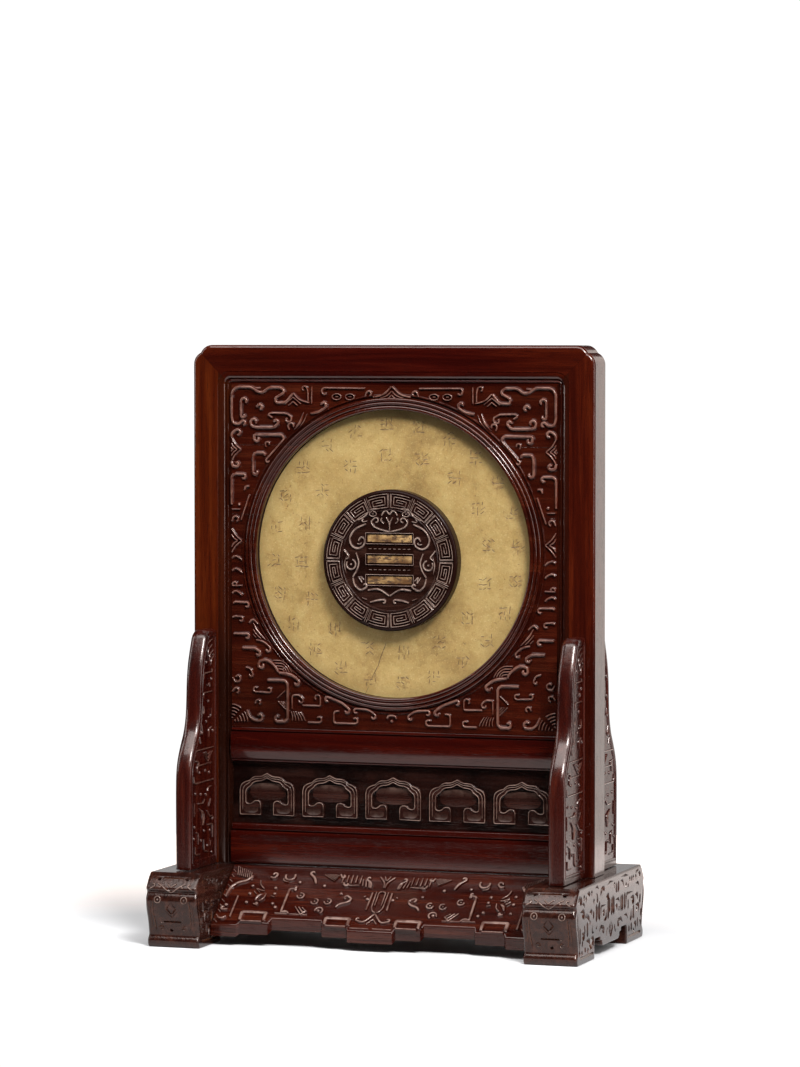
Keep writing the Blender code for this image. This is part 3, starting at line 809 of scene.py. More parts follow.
# the side, where the ring leaves a narrow ground
ridge([(-89.6, 257.6), (-88.6, 260.2), (-86.2, 259.9)], corner=2, width=1.5)
ridge([(-86.2, 255.6), (-91.6, 240.4)], width=1.5)
stud(-92.7, 249.6, 1.1)
ridge([(-97.2, 246.8), (-92, 246.8)], width=1.2)
ridge([(-97.3, 239.6), (-96.4, 241.9)], end=-1.9, width=1.5)
for tip, spread in ((-91.0, 7.0), (-93.6, 3.8)):
    fold(228.7, tip, spread)
for up in (218.4, 211.2, 198.2):
    ridge([(-97.3, up), (-95.5, up + 1.7), (-92.4, up + 0.6), (-90.8, up - 1.2)], corner=2, width=1.4)
ridge([(-96.8, 204), (-97, 202.8), (-90.6, 202.8)], start=-1.4, corner=1, width=1.4)
ridge([(-96.6, 192.2), (-95.8, 193.4), (-88, 193.2)], end=-1.5, width=1.6)
ridge([(-97, 184), (-96, 185.2), (-91.5, 184.9)], end=-1.4, width=1.5)
ridge([(-87, 181.2), (-84.6, 184), (-81, 180.8)], corner=2.4, width=1.6)

# the lower corner: feathers, a leaf and squared scrolls
ridge([(-96.6, 175), (-88, 175.2)], end=-1.5)
ridge([(-84.3, 181.6), (-81.8, 177), (-76.6, 171.8)], corner=6, width=1.7, taper=0.3)
ridge([(-84.4, 178), (-82, 174.8), (-79.2, 172.4)], corner=5, width=0.9)
ridge([(-84.4, 175.2), (-82.2, 173)], width=0.9)
ridge([(-82.6, 171.9), (-77.6, 171), (-74, 167.6)], end=-1.6, corner=4, width=1.6)
ridge([(-91.4, 167), (-83, 167), (-80.4, 165.2)], end=-1.5, corner=2)
ridge([(-81, 157.4), (-80.6, 159.8), (-75.6, 160.7), (-70.4, 156.4), (-68.8, 153.2)], start=1.7, corner=4)
for step in range(4):
    rib = [(-72.2 + 0.7 * step, 160.2 - 1.5 * step), (-66.4 + 0.1 * step, 160.2 - 1.7 * step)]
    rib += [(-62.8 - 0.9 * step, 157.4 - 1.0 * step), (-60.6 - 1.7 * step, 153.5)]
    ridge(rib, width=0.95, corner=4, height=1.0)
ridge([(-69, 153.3), (-61, 152.4), (-56.6, 149)], end=-1.7, corner=4)
ridge([(-89, 156), (-85.6, 155), (-84.5, 152)], end=-1.2, corner=2, width=1.5)
ridge([(-96.9, 150), (-95.4, 147.2), (-93.4, 147.6)], end=2.0, corner=2, width=1.5)
ridge([(-76, 148.8), (-64.9, 148.9), (-63.2, 147), (-63.2, 127), (-65, 125.3), (-69.6, 125.2)], end=-1.7)
ridge([(-82.9, 141.9), (-74.6, 141.6)], start=-1.6, end=1.6, width=1.5)
ridge([(-97.3, 141.6), (-96, 143.4)], end=-1.8, width=1.5)
ridge([(-83.2, 135), (-82.6, 136.6)], end=-1.6, width=1.4)
for radius in (2.2, 4.1, 6.0, 7.9, 9.8):
    ridge(arc((-97.8, 124.6), radius, 88, 50, 4), width=1.0, corner=0.5)
    ridge(arc((-97.4, 124.2), radius, 40, 2, 4), width=1.0, corner=0.5)
ridge([(-88.4, 131.6), (-86.6, 127.4), (-83.4, 125.2), (-80.2, 125.4)], end=2.1, corner=3)
for step in range(4):
    ridge([(-69 + 1.55 * step, 136.9), (-64.2, 132.1 + 1.55 * step)], width=0.95)
ridge([(-69.6, 138.6), (-64.4, 143.4)], width=0.9)
ridge([(-60.4, 132.4), (-60.4, 140.6), (-56, 140.7), (-54, 138.6)], end=-1.6, width=1.5)
ridge([(-54.4, 134.9), (-43.2, 134.8), (-43.2, 139.6)], end=1.9, corner=1.0, width=1.5)
for step in range(5):
    feather = [(-61 + 1.4 * step, 131.2), (-60 + 1.6 * step, 128.6), (-60.2 + 2.0 * step, 125.8)]
    ridge(feather, width=0.9, corner=2)
ridge([(-51, 125.2), (-44, 125.2)], end=1.9, width=1.5)
ridge([(-38.6, 140), (-30, 136.9), (-26, 133.6)], start=1.5, end=-1.6, corner=4)
ridge([(-31.6, 132.2), (-35, 131.8), (-35, 125.2), (-22, 125.2)], end=1.9, corner=1.4, width=1.5)
ridge([(-21.6, 133.8), (-14, 133.5), (-10.2, 130.6)], start=1.5, end=-1.5, corner=3, width=1.6)
carve.mirrored()
ridge([(-3, 128.4), (-2, 130.4), (2, 130.4), (3, 128.4)], width=1.4)
stud(0, 127.2, 1.1)


def board_cracks_and_dark_corner(finish):
    """Two hairlines where the board has opened along its grain, and its lower left corner darker."""
    up = finish.along("Z")
    sway = 0.0012 * finish.noise(finish.place(), 90, 2)
    darkening = 0.42 * up.step(0.170, 0.125) * finish.along("X").step(-0.010, -0.065)
    for height in (0.2838, 0.2440):
        darkening = darkening + (up - height + sway - 0.0006).size().step(0.00016, 0.00006)
    return darkening


PANEL_TONES = ((0.024, 0.0022, 0.0008), (0.046, 0.0052, 0.0018), (0.082, 0.0150, 0.0056))
SHADED_WALL_TONE = (0.012, 0.004, 0.002, 1)
PANEL_GROUND = 0.20  # the crest value of the uncarved board, low enough that it is painted darker as shade, with dust and wax
PANEL_CARVED = {"worn": (0.190, 0.095, 0.070), "tooled": 0.35}
panel_wood = redwood("carved_redwood", "X", PANEL_TONES, coat=0.35, age_and_shade=board_cracks_and_dark_corner, **PANEL_CARVED)
shaded_wall_wood = Finish("painted_shade_opening_wall", {"Base Color": SHADED_WALL_TONE, "Roughness": 0.9, "Specular IOR Level": 0.1})
part = joined(plain(pierced_board(), PANEL_GROUND), carve.part())
panel = fit_piece("carved_dragon_panel", part, panel_wood, "red_wood", "carved_panel", crisp=40)
panel.data.materials.append(shaded_wall_wood.material)
for face in panel.data.polygons:
    reach = math.hypot(face.center.x, face.center.z - 0.001 * DISC_HEIGHT)
    if reach < 0.001 * REBATE and face.center.y > 0.001 * (PANEL_FACE + 0.5):
        face.material_index = 1  # the opening's wall and the rebate behind it, painted near-black and dull as shade

# ---------------------------------------------------------------- the jade disc
# A polished slice of mottled yellow jade, dropped into the rebate behind the round moulding. Two rings of
# short engraved strokes run round it, worn and stained, and a natural crack crosses it below the boss.


def groove_outline(path, width):
    """The two sides of a groove and its tips, round its middle line."""
    path = np.array(path, float)
    slope = np.gradient(path, axis=0)
    slope /= np.hypot(*slope.T)[:, None]
    out = np.stack([slope[:, 1], -slope[:, 0]], 1) * width / 2
    inner = slice(1, -1)
    return [path[0], *(path + out)[inner], path[-1], *(path - out)[inner][::-1]]


def engraved(outline, rows, grooves, lay):
    """A sheet inside an outline, cut with V-shaped grooves; each is a path, its width and its depth.

    rows are lines that the sheet's edges also follow, where it bends.
    """
    flat, edges = [], []

    def add(points, loop):
        start = len(flat)
        flat.extend(Vector((float(a), float(b))) for a, b in points)
        count = len(points)
        edges.extend((start + i, start + (i + 1) % count) for i in range(count if loop else count - 1))

    add(outline, True)
    for row in rows:
        add(row, False)
    cuts = []
    for path, width, depth in grooves:
        path = np.array(path, float)
        if len(path) < 4 and np.hypot(*(path[-1] - path[0])) > 1.1 * width:
            tips = [p + (q - p) / np.hypot(*(q - p)) * width / 2 for p, q in (path[:2], path[:-3:-1])]
            path = np.array([path[0], tips[0], *path[1:-1], tips[1], path[-1]])
        add(groove_outline(path, width), True)
        add(path, False)
        cuts.append((path, width / 2, depth))
    made, made_edges, made_faces = delaunay_2d_cdt(flat, edges, [], 1, 1e-4)[:3]
    flat = np.array([(p.x, p.y) for p in made])
    depth = np.zeros(len(flat))
    share = np.zeros(len(flat))
    for path, half, deep in cuts:
        near = np.full(len(flat), 9.0)
        for a, b in zip(path, path[1:]):
            t = np.clip((flat - a) @ (b - a) / ((b - a) @ (b - a)), 0.0, 1)
            near = np.minimum(near, np.hypot(*(flat - a - t[:, None] * (b - a)).T))
        taper = np.ones(len(flat))
        for tip, beside in ((path[0], path[1]), (path[-1], path[-2])):
            along = np.sqrt(np.maximum(np.hypot(*(flat - tip).T) ** 2 - near**2, 0))
            taper = np.minimum(taper, along / np.hypot(*(beside - tip)))
        full = np.clip(1 - near / (half * taper + 1e-6), 0, 1) * taper
        depth = np.maximum(depth, deep * full)
        share = np.maximum(share, full)
    points = [lay(a, b, -d) for (a, b), d in zip(flat, depth)]
    return points, [tuple(face) for face in made_faces], list(0.5 - 0.5 * share)


disc_low, disc_high = millimetres("jade_disc")
DISC_RADIUS = disc_high[0]
DISC_FACE, DISC_BACK = disc_low[1], disc_high[1]
DISC_SIDES = 180
DISC_EDGE = 0.6  # the rounding of its edges
ENGRAVED_RINGS = ((73.5, 24), (56.5, 16))  # the radius of each ring and its number of groups
GROUP = 8.0  # the size of a group, of three strokes each way
MISSED = 0.16  # the share of strokes that have worn away
LEANS = (0, 8, 90, 84, 35, 140)
STROKE_DEPTH = 0.10


def circle(radius, sides):
    return arc((0, 0), radius, 0, 360, sides)[:-1]


def worn_strokes(random):
    """The engraving: groups of short strokes in two rings."""
    strokes = []
    for ring_radius, groups in ENGRAVED_RINGS:
        for group in range(groups):
            turn = math.tau * (group + 0.25) / groups
            middle = ring_radius * np.array([math.cos(turn), math.sin(turn)])
            for cell in range(9):
                if random.random() < MISSED:
                    continue
                row, column = divmod(cell, 3)
                at = middle + np.array([column - 1, row - 1]) * GROUP / 3 + random.uniform(-0.3, 0.3, 2)
                lean = math.radians(random.choice(LEANS))
                reach = random.uniform(1.2, 2.4) * np.array([math.cos(lean), math.sin(lean)])
                path = [at + share * reach for share in (-1, -0.4, 0.4, 1)]
                strokes.append((path, random.uniform(0.48, 0.78), STROKE_DEPTH))
    return strokes


crack = [(-4.6, -49), (-5.6, -52), (-7, -55.6), (-8.6, -59.4), (-9.8, -63.6), (-12.6, -69), (-15.4, -74.6)]
crack_end = [(-15.4, -74.9), (-16, -77), (-17.6, -80), (-18.2, -83)]
disc_grooves = [*worn_strokes(np.random.default_rng(11)), (crack, 0.55, 0.25), (crack_end, 0.34, 0.18)]


def on_disc(a, b, lift):
    return (a, DISC_FACE - lift, DISC_HEIGHT + b)


profile = [(DISC_EDGE, 0), (0.17, 0.17), (0, DISC_EDGE)]  # distances in from the edge, and back from the face
profile += [(0, DISC_BACK - DISC_EDGE - DISC_FACE), (DISC_EDGE, DISC_BACK - DISC_FACE)]
rows = [[on_disc(a, b, -back) for a, b in circle(DISC_RADIUS - inset, DISC_SIDES)] for inset, back in profile]
points, faces = skin(rows)
rim = plain((points, flipped([*faces[:-2], faces[-1]])), 0.5)
face = engraved(circle(DISC_RADIUS - DISC_EDGE, DISC_SIDES), [], disc_grooves, on_disc)


def jade_finish():
    """Warm yellow stone with cloudy mottling, brown flecks and stain in the engraving, and painted shade: the
    boss's shadow below it and the round moulding's along its edge.
    """
    constants = {"IOR": 1.6, "Subsurface Weight": 0.12, "Subsurface Scale": 0.004, "Coat Roughness": 0.10}
    finish = Finish("yellow_jade", constants)
    where = finish.place()
    clouds = finish.noise(where, 26, 5, 0.6, 0.4)
    veins = finish.noise(where, 140, 4, 0.62, 0.8)
    stops = [(0.32, (0.225, 0.138, 0.045)), (0.47, (0.340, 0.226, 0.078)), (0.62, (0.430, 0.304, 0.116))]
    colour = finish.ramp(0.65 * clouds + 0.35 * veins, stops)
    spots = finish.noise(where, 420, 4, 0.7)
    stain = finish.noise(where, 60, 3, 0.5)
    grit = finish.noise(where, 1100, 3, 0.7)
    colour = finish.blend(grit.step(0.44, 0.32) * 0.42, colour, (0.190, 0.105, 0.032))
    colour = finish.blend(grit.step(0.56, 0.70) * 0.42, colour, (0.600, 0.470, 0.230))
    flecks = spots.step(0.58, 0.68) * stain.step(0.42, 0.62)
    colour = finish.blend(flecks * 0.75, colour, (0.130, 0.062, 0.018))
    across = finish.along("X")
    up = finish.along("Z") - 0.001 * DISC_HEIGHT
    reach = (across * across + up * up) ** 0.5
    turn = finish.maths("ARCTAN2", up, across)
    for ring_radius, groups in ENGRAVED_RINGS:
        near = (reach - 0.001 * ring_radius).size().step(0.00068 * GROUP, 0.0002 * GROUP)
        grouped = finish.maths("COSINE", turn * groups - 0.25 * math.tau).step(-0.3, 0.7)
        smudge = near * grouped * spots.step(0.42, 0.60) * stain.step(0.30, 0.60)
        colour = finish.blend(smudge * 0.62, colour, (0.165, 0.085, 0.025))
    slant = across + up
    # a painted shadow of the boss, on the disc to its lower left
    painted_boss_shadow = reach.step(0.0475, 0.0405) * slant.step(0.008, -0.040)
    colour = finish.blend(painted_boss_shadow * 0.60, colour, (0.100, 0.052, 0.012))
    # painted shade all round the disc's edge, under the round moulding
    colour = finish.blend(reach.step(0.074, 0.0845) * 0.30, colour, (0.260, 0.180, 0.072))
    # a painted shadow of the round moulding, deeper at the disc's upper right
    painted_ring_shadow = reach.step(0.070, 0.0840) * slant.step(0.030, 0.095)
    colour = finish.blend(painted_ring_shadow * 0.60, colour, (0.120, 0.074, 0.026))
    mark = finish.attribute("crest").step(0.48, 0.15)
    colour = finish.blend(mark * 0.92, colour, (0.070, 0.032, 0.010))
    finish.set("Base Color", colour)
    finish.set("Roughness", 0.34 + 0.14 * veins + 0.2 * mark)
    finish.set("Coat Weight", 0.25 - 0.2 * flecks)
    finish.bump(0.6 * veins + 0.4 * spots, 0.00005)
    return finish.material


fit_piece("engraved_jade_disc", joined(face, rim), jade_finish(), "jade", "jade_disc", crisp=2)

# ---------------------------------------------------------------- the back board
# A plain board of lesser redwood, oiled but not polished, let into the frame's grooves behind the disc. It
# is flat on both sides, with softened edges, and closes the whole opening of the frame.

BACK_TONES = ((0.030, 0.0060, 0.0030), (0.052, 0.0110, 0.0052), (0.082, 0.0210, 0.0100))
BACK_EDGE = 0.4  # the softness of its edges
back_wood = redwood("plain_back_wood", "Z", BACK_TONES, roughness=0.42, coat=0)
low, high = millimetres("back_board")
rows = []
for depth in (low[1], low[1] + BACK_EDGE, high[1] - BACK_EDGE, high[1]):
    inset = BACK_EDGE if depth in (low[1], high[1]) else 0
    corners = [(low[0] + inset, low[2] + inset), (high[0] - inset, low[2] + inset)]
    corners += [(high[0] - inset, high[2] - inset), (low[0] + inset, high[2] - inset)]
    rows.append([(x, depth, z) for x, z in corners])
fit_piece("plain_back_board", skin(rows), back_wood, "plain_wood", "back_board")

# ------------------------------------------------------------- the boss on the disc
# A thick round of dark zitan, turned with a rounded rim and fixed over the middle of the disc. A key-fret
# band runs round a field of carved clouds and scrolls, about three framed bars filled with gilt lacquer.

boss_low, boss_high = millimetres("centre_boss")
BOSS_RADIUS = boss_high[0]
BOSS_HEIGHT = (boss_low[2] + boss_high[2]) / 2
BOSS_FRONT, BOSS_BACK = boss_low[1], boss_high[1]
FIELD = BOSS_FRONT + 1.05  # how deep the carved field lies
FIELD_RADIUS = 28.7
BAND = (29.9, 38.1)  # the fret band, from and to
BAND_FLOOR = BOSS_FRONT + 0.65
BAND_WIDTH = BAND[1] - BAND[0]
FRET_CELLS = 16
CELL_LENGTH = math.tau * (BAND[0] + BAND[1]) / 2 / FRET_CELLS
BOSS_SIDES = 160


def boss_body():
    """The turned round, from the middle of its field over the rim to its back."""
    profile = [(0.05, FIELD), (FIELD_RADIUS - 0.75, FIELD)]
    profile += arc((FIELD_RADIUS, FIELD), (0.55, 1.0), 180, 330, 6)
    profile += [(BAND[0] - 0.4, BAND_FLOOR), (BAND[1] + 0.2, BAND_FLOOR)]
    profile += arc((BOSS_RADIUS - 1.9, BOSS_FRONT + 2.1), (1.9, 2.0), 275, 360, 7)
    profile += [(BOSS_RADIUS, BOSS_BACK - 1.0), (BOSS_RADIUS - 0.3, BOSS_BACK - 0.2)]
    profile += [(BOSS_RADIUS - 1, BOSS_BACK), (0.05, BOSS_BACK)]
    points, faces = skin(
        [[(a, depth, BOSS_HEIGHT + b) for a, b in circle(radius, BOSS_SIDES)] for radius, depth in profile]
    )
    return points, flipped(faces)


def on_band(along, out, lift):
    """A place on the fret band: along its middle from the top, and out from its inner edge."""
    radius = BAND[0] + out
    turn = math.tau * along / CELL_LENGTH / FRET_CELLS
    return (radius * math.sin(turn), BAND_FLOOR - lift, BOSS_HEIGHT + radius * math.cos(turn))


fret = Carving(on_band, 0.52, 0.65, longest=1.4)
spiral = [(0.14, 0.96), (0.92, 0.96), (0.92, 0.03), (0.10, 0.03), (0.10, 0.77), (0.80, 0.77), (0.80, 0.22)]
spiral += [(0.23, 0.22), (0.23, 0.58), (0.67, 0.58), (0.67, 0.41), (0.36, 0.41)]
for cell in range(FRET_CELLS):
    hand = 1 if cell % 2 else -1
    middle = (cell + 0.5) * CELL_LENGTH
    path = [(middle + hand * (s - 0.5) * CELL_LENGTH, t * BAND_WIDTH) for s, t in spiral]
    fret.ridge(path, corner=0.3)
    for bar in (-0.040, 0.042):
        along = (cell + bar) * CELL_LENGTH
        fret.ridge([(along, -0.05), (along, BAND_WIDTH)], 0.44, 0.62)


def on_field(a, b, lift):
    return (a, FIELD - lift, b)


scroll = Carving(on_field, 1.4, 1.05)
ridge, stud = scroll.ridge, scroll.stud

# the crest: a pair of loops over a forked stem, with two curls and an eye on each side
ridge([(0, 235), (0, 240), (-2, 243.6)], corner=1, width=1.2)
ridge([(-4.8, 244.2), (-3.6, 246.6), (-1.8, 247.4), (0, 244.8)], width=1.2)
loop = [(0, 235.2), (-5.2, 236.3), (-9.4, 237.9), (-11.3, 240.8), (-9, 242.9)]
ridge(loop, corner=2.6, end=-1.6, width=1.3)
ridge([(-3.4, 239.8), (-5.4, 241.6), (-4.4, 243.2)], corner=1.4, width=0.9)
ridge(arc((-9.9, 245.3), (2.1, 1.4), 90, -260, 16), corner=0.1, width=0.8)
stud(-9.9, 245.3, 0.5)
ridge([(-12.6, 246.4), (-15, 243.4), (-19.4, 241.6)], corner=2, width=1.2)
ridge([(-13.2, 241.2), (-15.6, 240.7)], end=-0.9, width=1.0)
ridge([(-6.6, 248.3), (-9.4, 248.4), (-12.2, 247.4)], corner=2, width=0.9)
# the side scrolls beside the bars
volute = [(-14, 239.7), (-21.3, 236.5), (-24.3, 231.1), (-23, 226.8), (-19, 225.1), (-15.1, 227.4)]
ridge([*volute, (-14.8, 231.1), (-17.3, 232.3), (-18.8, 229.6)], corner=3.2, width=1.4)
ridge([(-16.6, 229.2), (-17.6, 227.8), (-19.6, 228.4)], corner=1, width=0.9)
ridge([(-27.6, 224.9), (-24.1, 220.6), (-26.2, 219.2)], corner=1.2, width=1.2)
ridge([(-20.2, 223.2), (-18, 217.2), (-20, 212.2), (-22.2, 209.2)], corner=5, width=1.2)
ridge(arc((-23.1, 216.4), 2.8, 140, 440, 16), corner=0.1, width=1.2)
stud(-23.2, 216.4, 0.8)
ridge([(-25.6, 221.6), (-27.4, 216.4), (-26, 211)], corner=4, width=0.9, taper=0.4)
# the lower scrolls and the bracketed line under the bars
ridge([(-22, 209), (-21.2, 204.6), (-17.4, 201.4), (-14, 203.5)], corner=3, end=1.2, width=1.4)
ridge([(-18.9, 209.6), (-16.4, 206), (-17.4, 209.8), (-15, 207.4)], corner=0.8, width=1.0)
ridge([(-13.2, 201.9), (-6.4, 203), (0, 198.7)], corner=3, width=1.4)
ridge([(-11.8, 195), (-7.4, 196.3), (-3.4, 196.6)], corner=2, end=-1.1, width=1.3)
ridge([(-16.6, 197.6), (-13.4, 196.4)], width=1.0, taper=0.3)
ridge([(-26.4, 206), (-24.6, 202), (-21, 198)], corner=4, width=0.9, taper=0.5)
scroll.mirrored()

BAR_HALF = (14.3, 3.1)
BAR_HEIGHTS = (231.4, 219.5, 207.7)
BETWEEN_BARS = (225.45, 213.6)
framed = Carving(on_field, 0.62, 1.1)
wide, tall = BAR_HALF
for up in BAR_HEIGHTS:
    for end in (-1, 1):
        framed.ridge([(-wide, up + end * tall), (wide, up + end * tall)], tips=0.4)
        framed.ridge([(end * wide, up - tall), (end * wide, up + tall)], tips=0.4)
for up in BETWEEN_BARS:
    for step in range(-4, 5):
        framed.ridge([(2.9 * step - 0.9, up), (2.9 * step + 0.9, up)], width=0.5, height=0.45)


def between_bars(finish):
    """Where the ground about the bars is black with aged lacquer."""
    near = finish.along("X").size().step(0.0144, 0.0138)
    near = near * (finish.along("Z") - 0.001 * BAR_HEIGHTS[1]).size().step(0.0150, 0.0138)
    return near * finish.attribute("crest").step(0.40, 0.20)


ZITAN_TONES = ((0.016, 0.0046, 0.0030), (0.034, 0.0112, 0.0074), (0.066, 0.0280, 0.0195))
ZITAN_WORN_AND_SHEEN = (0.370, 0.268, 0.220)
BOSS_GROUND = 0.06  # the crest value of the uncarved round, low enough that its ground is painted dark as shade, with dust and wax
SHADED_RIM_TONE = (0.010, 0.0030, 0.0020, 1)
ZITAN_POLISH = {"roughness": 0.12, "coat": 0.2}
boss_wood = redwood("boss_zitan", "X", ZITAN_TONES, **ZITAN_POLISH, age_and_shade=between_bars, worn=ZITAN_WORN_AND_SHEEN)
shaded_rim_wood = Finish("shaded_turned_rim", {"Base Color": SHADED_RIM_TONE, "Roughness": 0.25, "Specular IOR Level": 0.08})
part = joined(plain(boss_body(), BOSS_GROUND), fret.part(), scroll.part(), framed.part())
boss = fit_piece("carved_boss", part, boss_wood, "dark_wood", "centre_boss", crisp=38)
boss.data.materials.append(shaded_rim_wood.material)
for face in boss.data.polygons:
    reach = math.hypot(face.center.x, face.center.z - 0.001 * BOSS_HEIGHT)
    if reach > 0.001 * (BAND[1] + 0.6):
        face.material_index = 1  # the rounded rim and the turned side, painted near-black and dull as shade


def gilt_finish():
    """Gold lacquer over wood, dull and rubbed through in places."""
    finish = Finish("gilt_lacquer", {"IOR": 1.5})
    where = finish.place((0.5, 1, 1))
    rubbed = finish.noise(where, 700, 4, 0.65)
    cloud = finish.noise(where, 190, 3)
    colour = finish.blend(cloud.step(0.35, 0.65), (0.16, 0.074, 0.026), (0.60, 0.37, 0.155))
    bare = rubbed.step(0.49, 0.58)
    colour = finish.blend(bare * 0.9, colour, (0.040, 0.016, 0.007))
    finish.set("Base Color", colour)
    finish.set("Metallic", 0.55 - 0.5 * bare)
    finish.set("Roughness", 0.42 + 0.2 * rubbed)
    finish.bump(rubbed, 0.00005)
    return finish.material


gilt = gilt_finish()
FRAME_CLEARANCE = 1.1  # from the middle of a bar's frame to its gilding
GILT_SUNK = 0.3
wide, tall = [half - FRAME_CLEARANCE for half in BAR_HALF]
for number, up in enumerate(BAR_HEIGHTS, 1):
    rows = []
    for x in np.linspace(-wide, wide, 15):
        bow = 0.28 + 0.07 * math.sin(1.7 * x + number)
        round_bar = [(-tall, -GILT_SUNK), (tall, -GILT_SUNK), (tall, bow), (0, bow + 0.12), (-tall, bow)]
        rows.append([(x, FIELD - lift, up + z) for z, lift in round_bar])
    fit_piece(f"gilt_bar_{number}", skin(rows), gilt, "gilt")

# ------------------------------------------------------------- the cloud-head panel
# A narrow board of dark zitan between the two lower rails, carved from the solid with five cloud heads. Each
# is a raised band with a fine bead along its edges and a finer one over its brow, round a swelling middle.

low, high = millimetres("ruyi_panel")
CLOUD_GROUND = GROOVE[0] + 0.3
HEAD_FACE = CLOUD_GROUND - 1.3
HEADS = 5
HEAD_PITCH = 38.4
HEAD_BOTTOM = 70.2


def shrunk(outline, distance):
    """A closed outline moved inwards; the outline runs anticlockwise."""
    outline = np.array(outline, float)
    before = outline - np.roll(outline, 1, axis=0)
    after = np.roll(outline, -1, axis=0) - outline
    before /= np.hypot(*before.T)[:, None]
    after /= np.hypot(*after.T)[:, None]
    inward = np.stack([-(before + after)[:, 1], (before + after)[:, 0]], 1)
    length = np.hypot(*inward.T)[:, None]
    sharp = np.clip(length / 2, 0.5, 1)
    return outline + inward / length * distance / sharp


def cloud_head():
    """The outline of a cloud head about its middle, up from its feet, anticlockwise."""
    right = rounded([(3.5, 0.2), (17.0, 0), (17.0, 15.6), (16.0, 18.3), (13.4, 19.9), (11.0, 20.5)], 1.5, 4)
    right += rounded([(9.9, 21.6), (8.0, 22.9), (3.6, 23.1), (0, 25)], 1.1, 3)
    hook = [(3.5, 0.4), (3.5, 7.4), (4.9, 9.1), (7.9, 9.1), (9.7, 7.2)]
    hook += [(12.5, 7.0), (12.5, 14.8), (9.4, 17.1)]
    mouth = rounded(hook, 1.5, 4) + rounded([(8.6, 18.3), (7.0, 19.3), (3.3, 19.7), (0, 21.4)], 1.0, 3)
    outer = [tuple(p) for p in right] + [(-x, z) for x, z in right[-2::-1]]
    inner = [(-x, z) for x, z in mouth] + [tuple(p) for p in mouth[-2:0:-1]]
    return outer + inner


cloud = Carving(lambda a, b, lift: (a, HEAD_FACE - lift, b), 0.72, 0.7)


def cushion(across, up, wide, tall, base, height, sheen_crests_up):
    """A shallow swelling with square shoulders; sheen_crests_up are its crest values from its foot to its
    top, through which a sheen is painted on it.
    """
    turns = [math.tau * i / 28 for i in range(29)]
    square = [tuple(np.sign(c) * abs(c) ** 0.7 for c in (math.cos(t), -math.sin(t))) for t in turns]
    grid, lifts, values = [], [], []
    for reach in (1.0, 0.86, 0.66, 0.42, 0.02):
        grid.append([(across + wide * reach * a, up + tall * reach * b) for a, b in square])
        lifts.append([base + height * (1 - reach**2)] * len(square))
        values.append([float(np.interp(reach * b, (-1, 1), sheen_crests_up)) for a, b in square])
    cloud.add(grid, lifts, values)


second_bead = [(14.9, 3), (14.9, 15.0), (13.9, 17.0), (11.2, 18.6)]  # up from the right foot to the tip
second_bead += [(9.4, 20.6), (6.6, 21.3), (3.2, 21.5), (0, 23.2)]
corners = [(low[0], low[2]), (high[0], low[2]), (high[0], high[2]), (low[0], high[2])]
# the ground's crest value of 0 paints it nearly black: painted shade in the recess, with dust and wax
parts = [plain(skin([[(x, depth, z) for x, z in corners] for depth in (CLOUD_GROUND, high[1])]), 0.0)]
for head in range(HEADS):
    middle = HEAD_PITCH * (head - (HEADS - 1) / 2)
    outline = [(x + middle, z + HEAD_BOTTOM) for x, z in cloud_head()]
    loops = [(outline, CLOUD_GROUND + 0.1), (outline, HEAD_FACE + 0.2), (shrunk(outline, 0.2), HEAD_FACE)]
    points, faces = skin([[(x, depth, z) for x, z in loop] for loop, depth in loops])
    # the band's foot, at a crest value of 0.15, is painted darker as shade
    parts.append((points, faces, [0.15] * len(outline) + [0.5] * 2 * len(outline)))
    bead = shrunk(outline, 0.5)
    cloud.ridge([*bead, bead[0]], corner=0.3, tips=0.4)
    # the crest values paint a sheen: on the middle lighter towards its top, on the feet lighter towards their
    # foot
    cushion(middle, HEAD_BOTTOM + 13.9, 10.9, 4.9, HEAD_FACE - CLOUD_GROUND, 0.17, (0.45, 0.80))
    for side in (-1, 1):
        cushion(middle + side * 10.0, HEAD_BOTTOM + 3.8, 5.6, 3.0, -0.08, 0.2, (0.78, 0.62))
        line = [(middle + side * x, z + HEAD_BOTTOM) for x, z in second_bead]
        cloud.ridge(line, width=0.55, height=0.5, corner=1.2)
CLOUD_TONES = ((0.010, 0.0022, 0.0014), (0.022, 0.0062, 0.0044), (0.044, 0.0170, 0.0125))
CLOUD_WORN_AND_SHEEN = (0.270, 0.175, 0.138)
cloud_wood = redwood("cloud_zitan", "X", CLOUD_TONES, **ZITAN_POLISH, worn=CLOUD_WORN_AND_SHEEN)
part = joined(*parts, cloud.part())
fit_piece("carved_cloud_panel", part, cloud_wood, "dark_wood", "ruyi_panel", crisp=38)

# ------------------------------------------------------------- the feet
# Two thick bars of dark zitan, shaped like recumbent beasts seen from the end, with a brow, a nose and a lip.
# Their sides are cut with archaic scrolls; four pads and two lobes carry the whole weight of the screen.

low, high = millimetres("foot_right")
FOOT_OUT, FOOT_IN = high[0], low[0]
FOOT_MIDDLE = (FOOT_OUT + FOOT_IN) / 2
# its front from the top down, as reach forward and height
nose_line = [(61.4, 42.3), (64.4, 40.1), (67.2, 37.2), (68.9, 35.2), (69.6, 34.0), (69.4, 33.0), (68.6, 32.0)]
nose_line += [(68.5, 31.2), (69.3, 29.8), (70.0, 28.2), (70.15, 26.4), (69.8, 23.4), (68.8, 20.0)]
nose_line += [(67.5, 16.6), (66.5, 13.2), (65.9, 10.0), (65.6, 7.6), (65.7, 6.4), (66.4, 5.2), (66.9, 3.9)]
nose_line += [(66.6, 2.2), (65.6, 0.6)]
nose_top = nose_line[0][1]


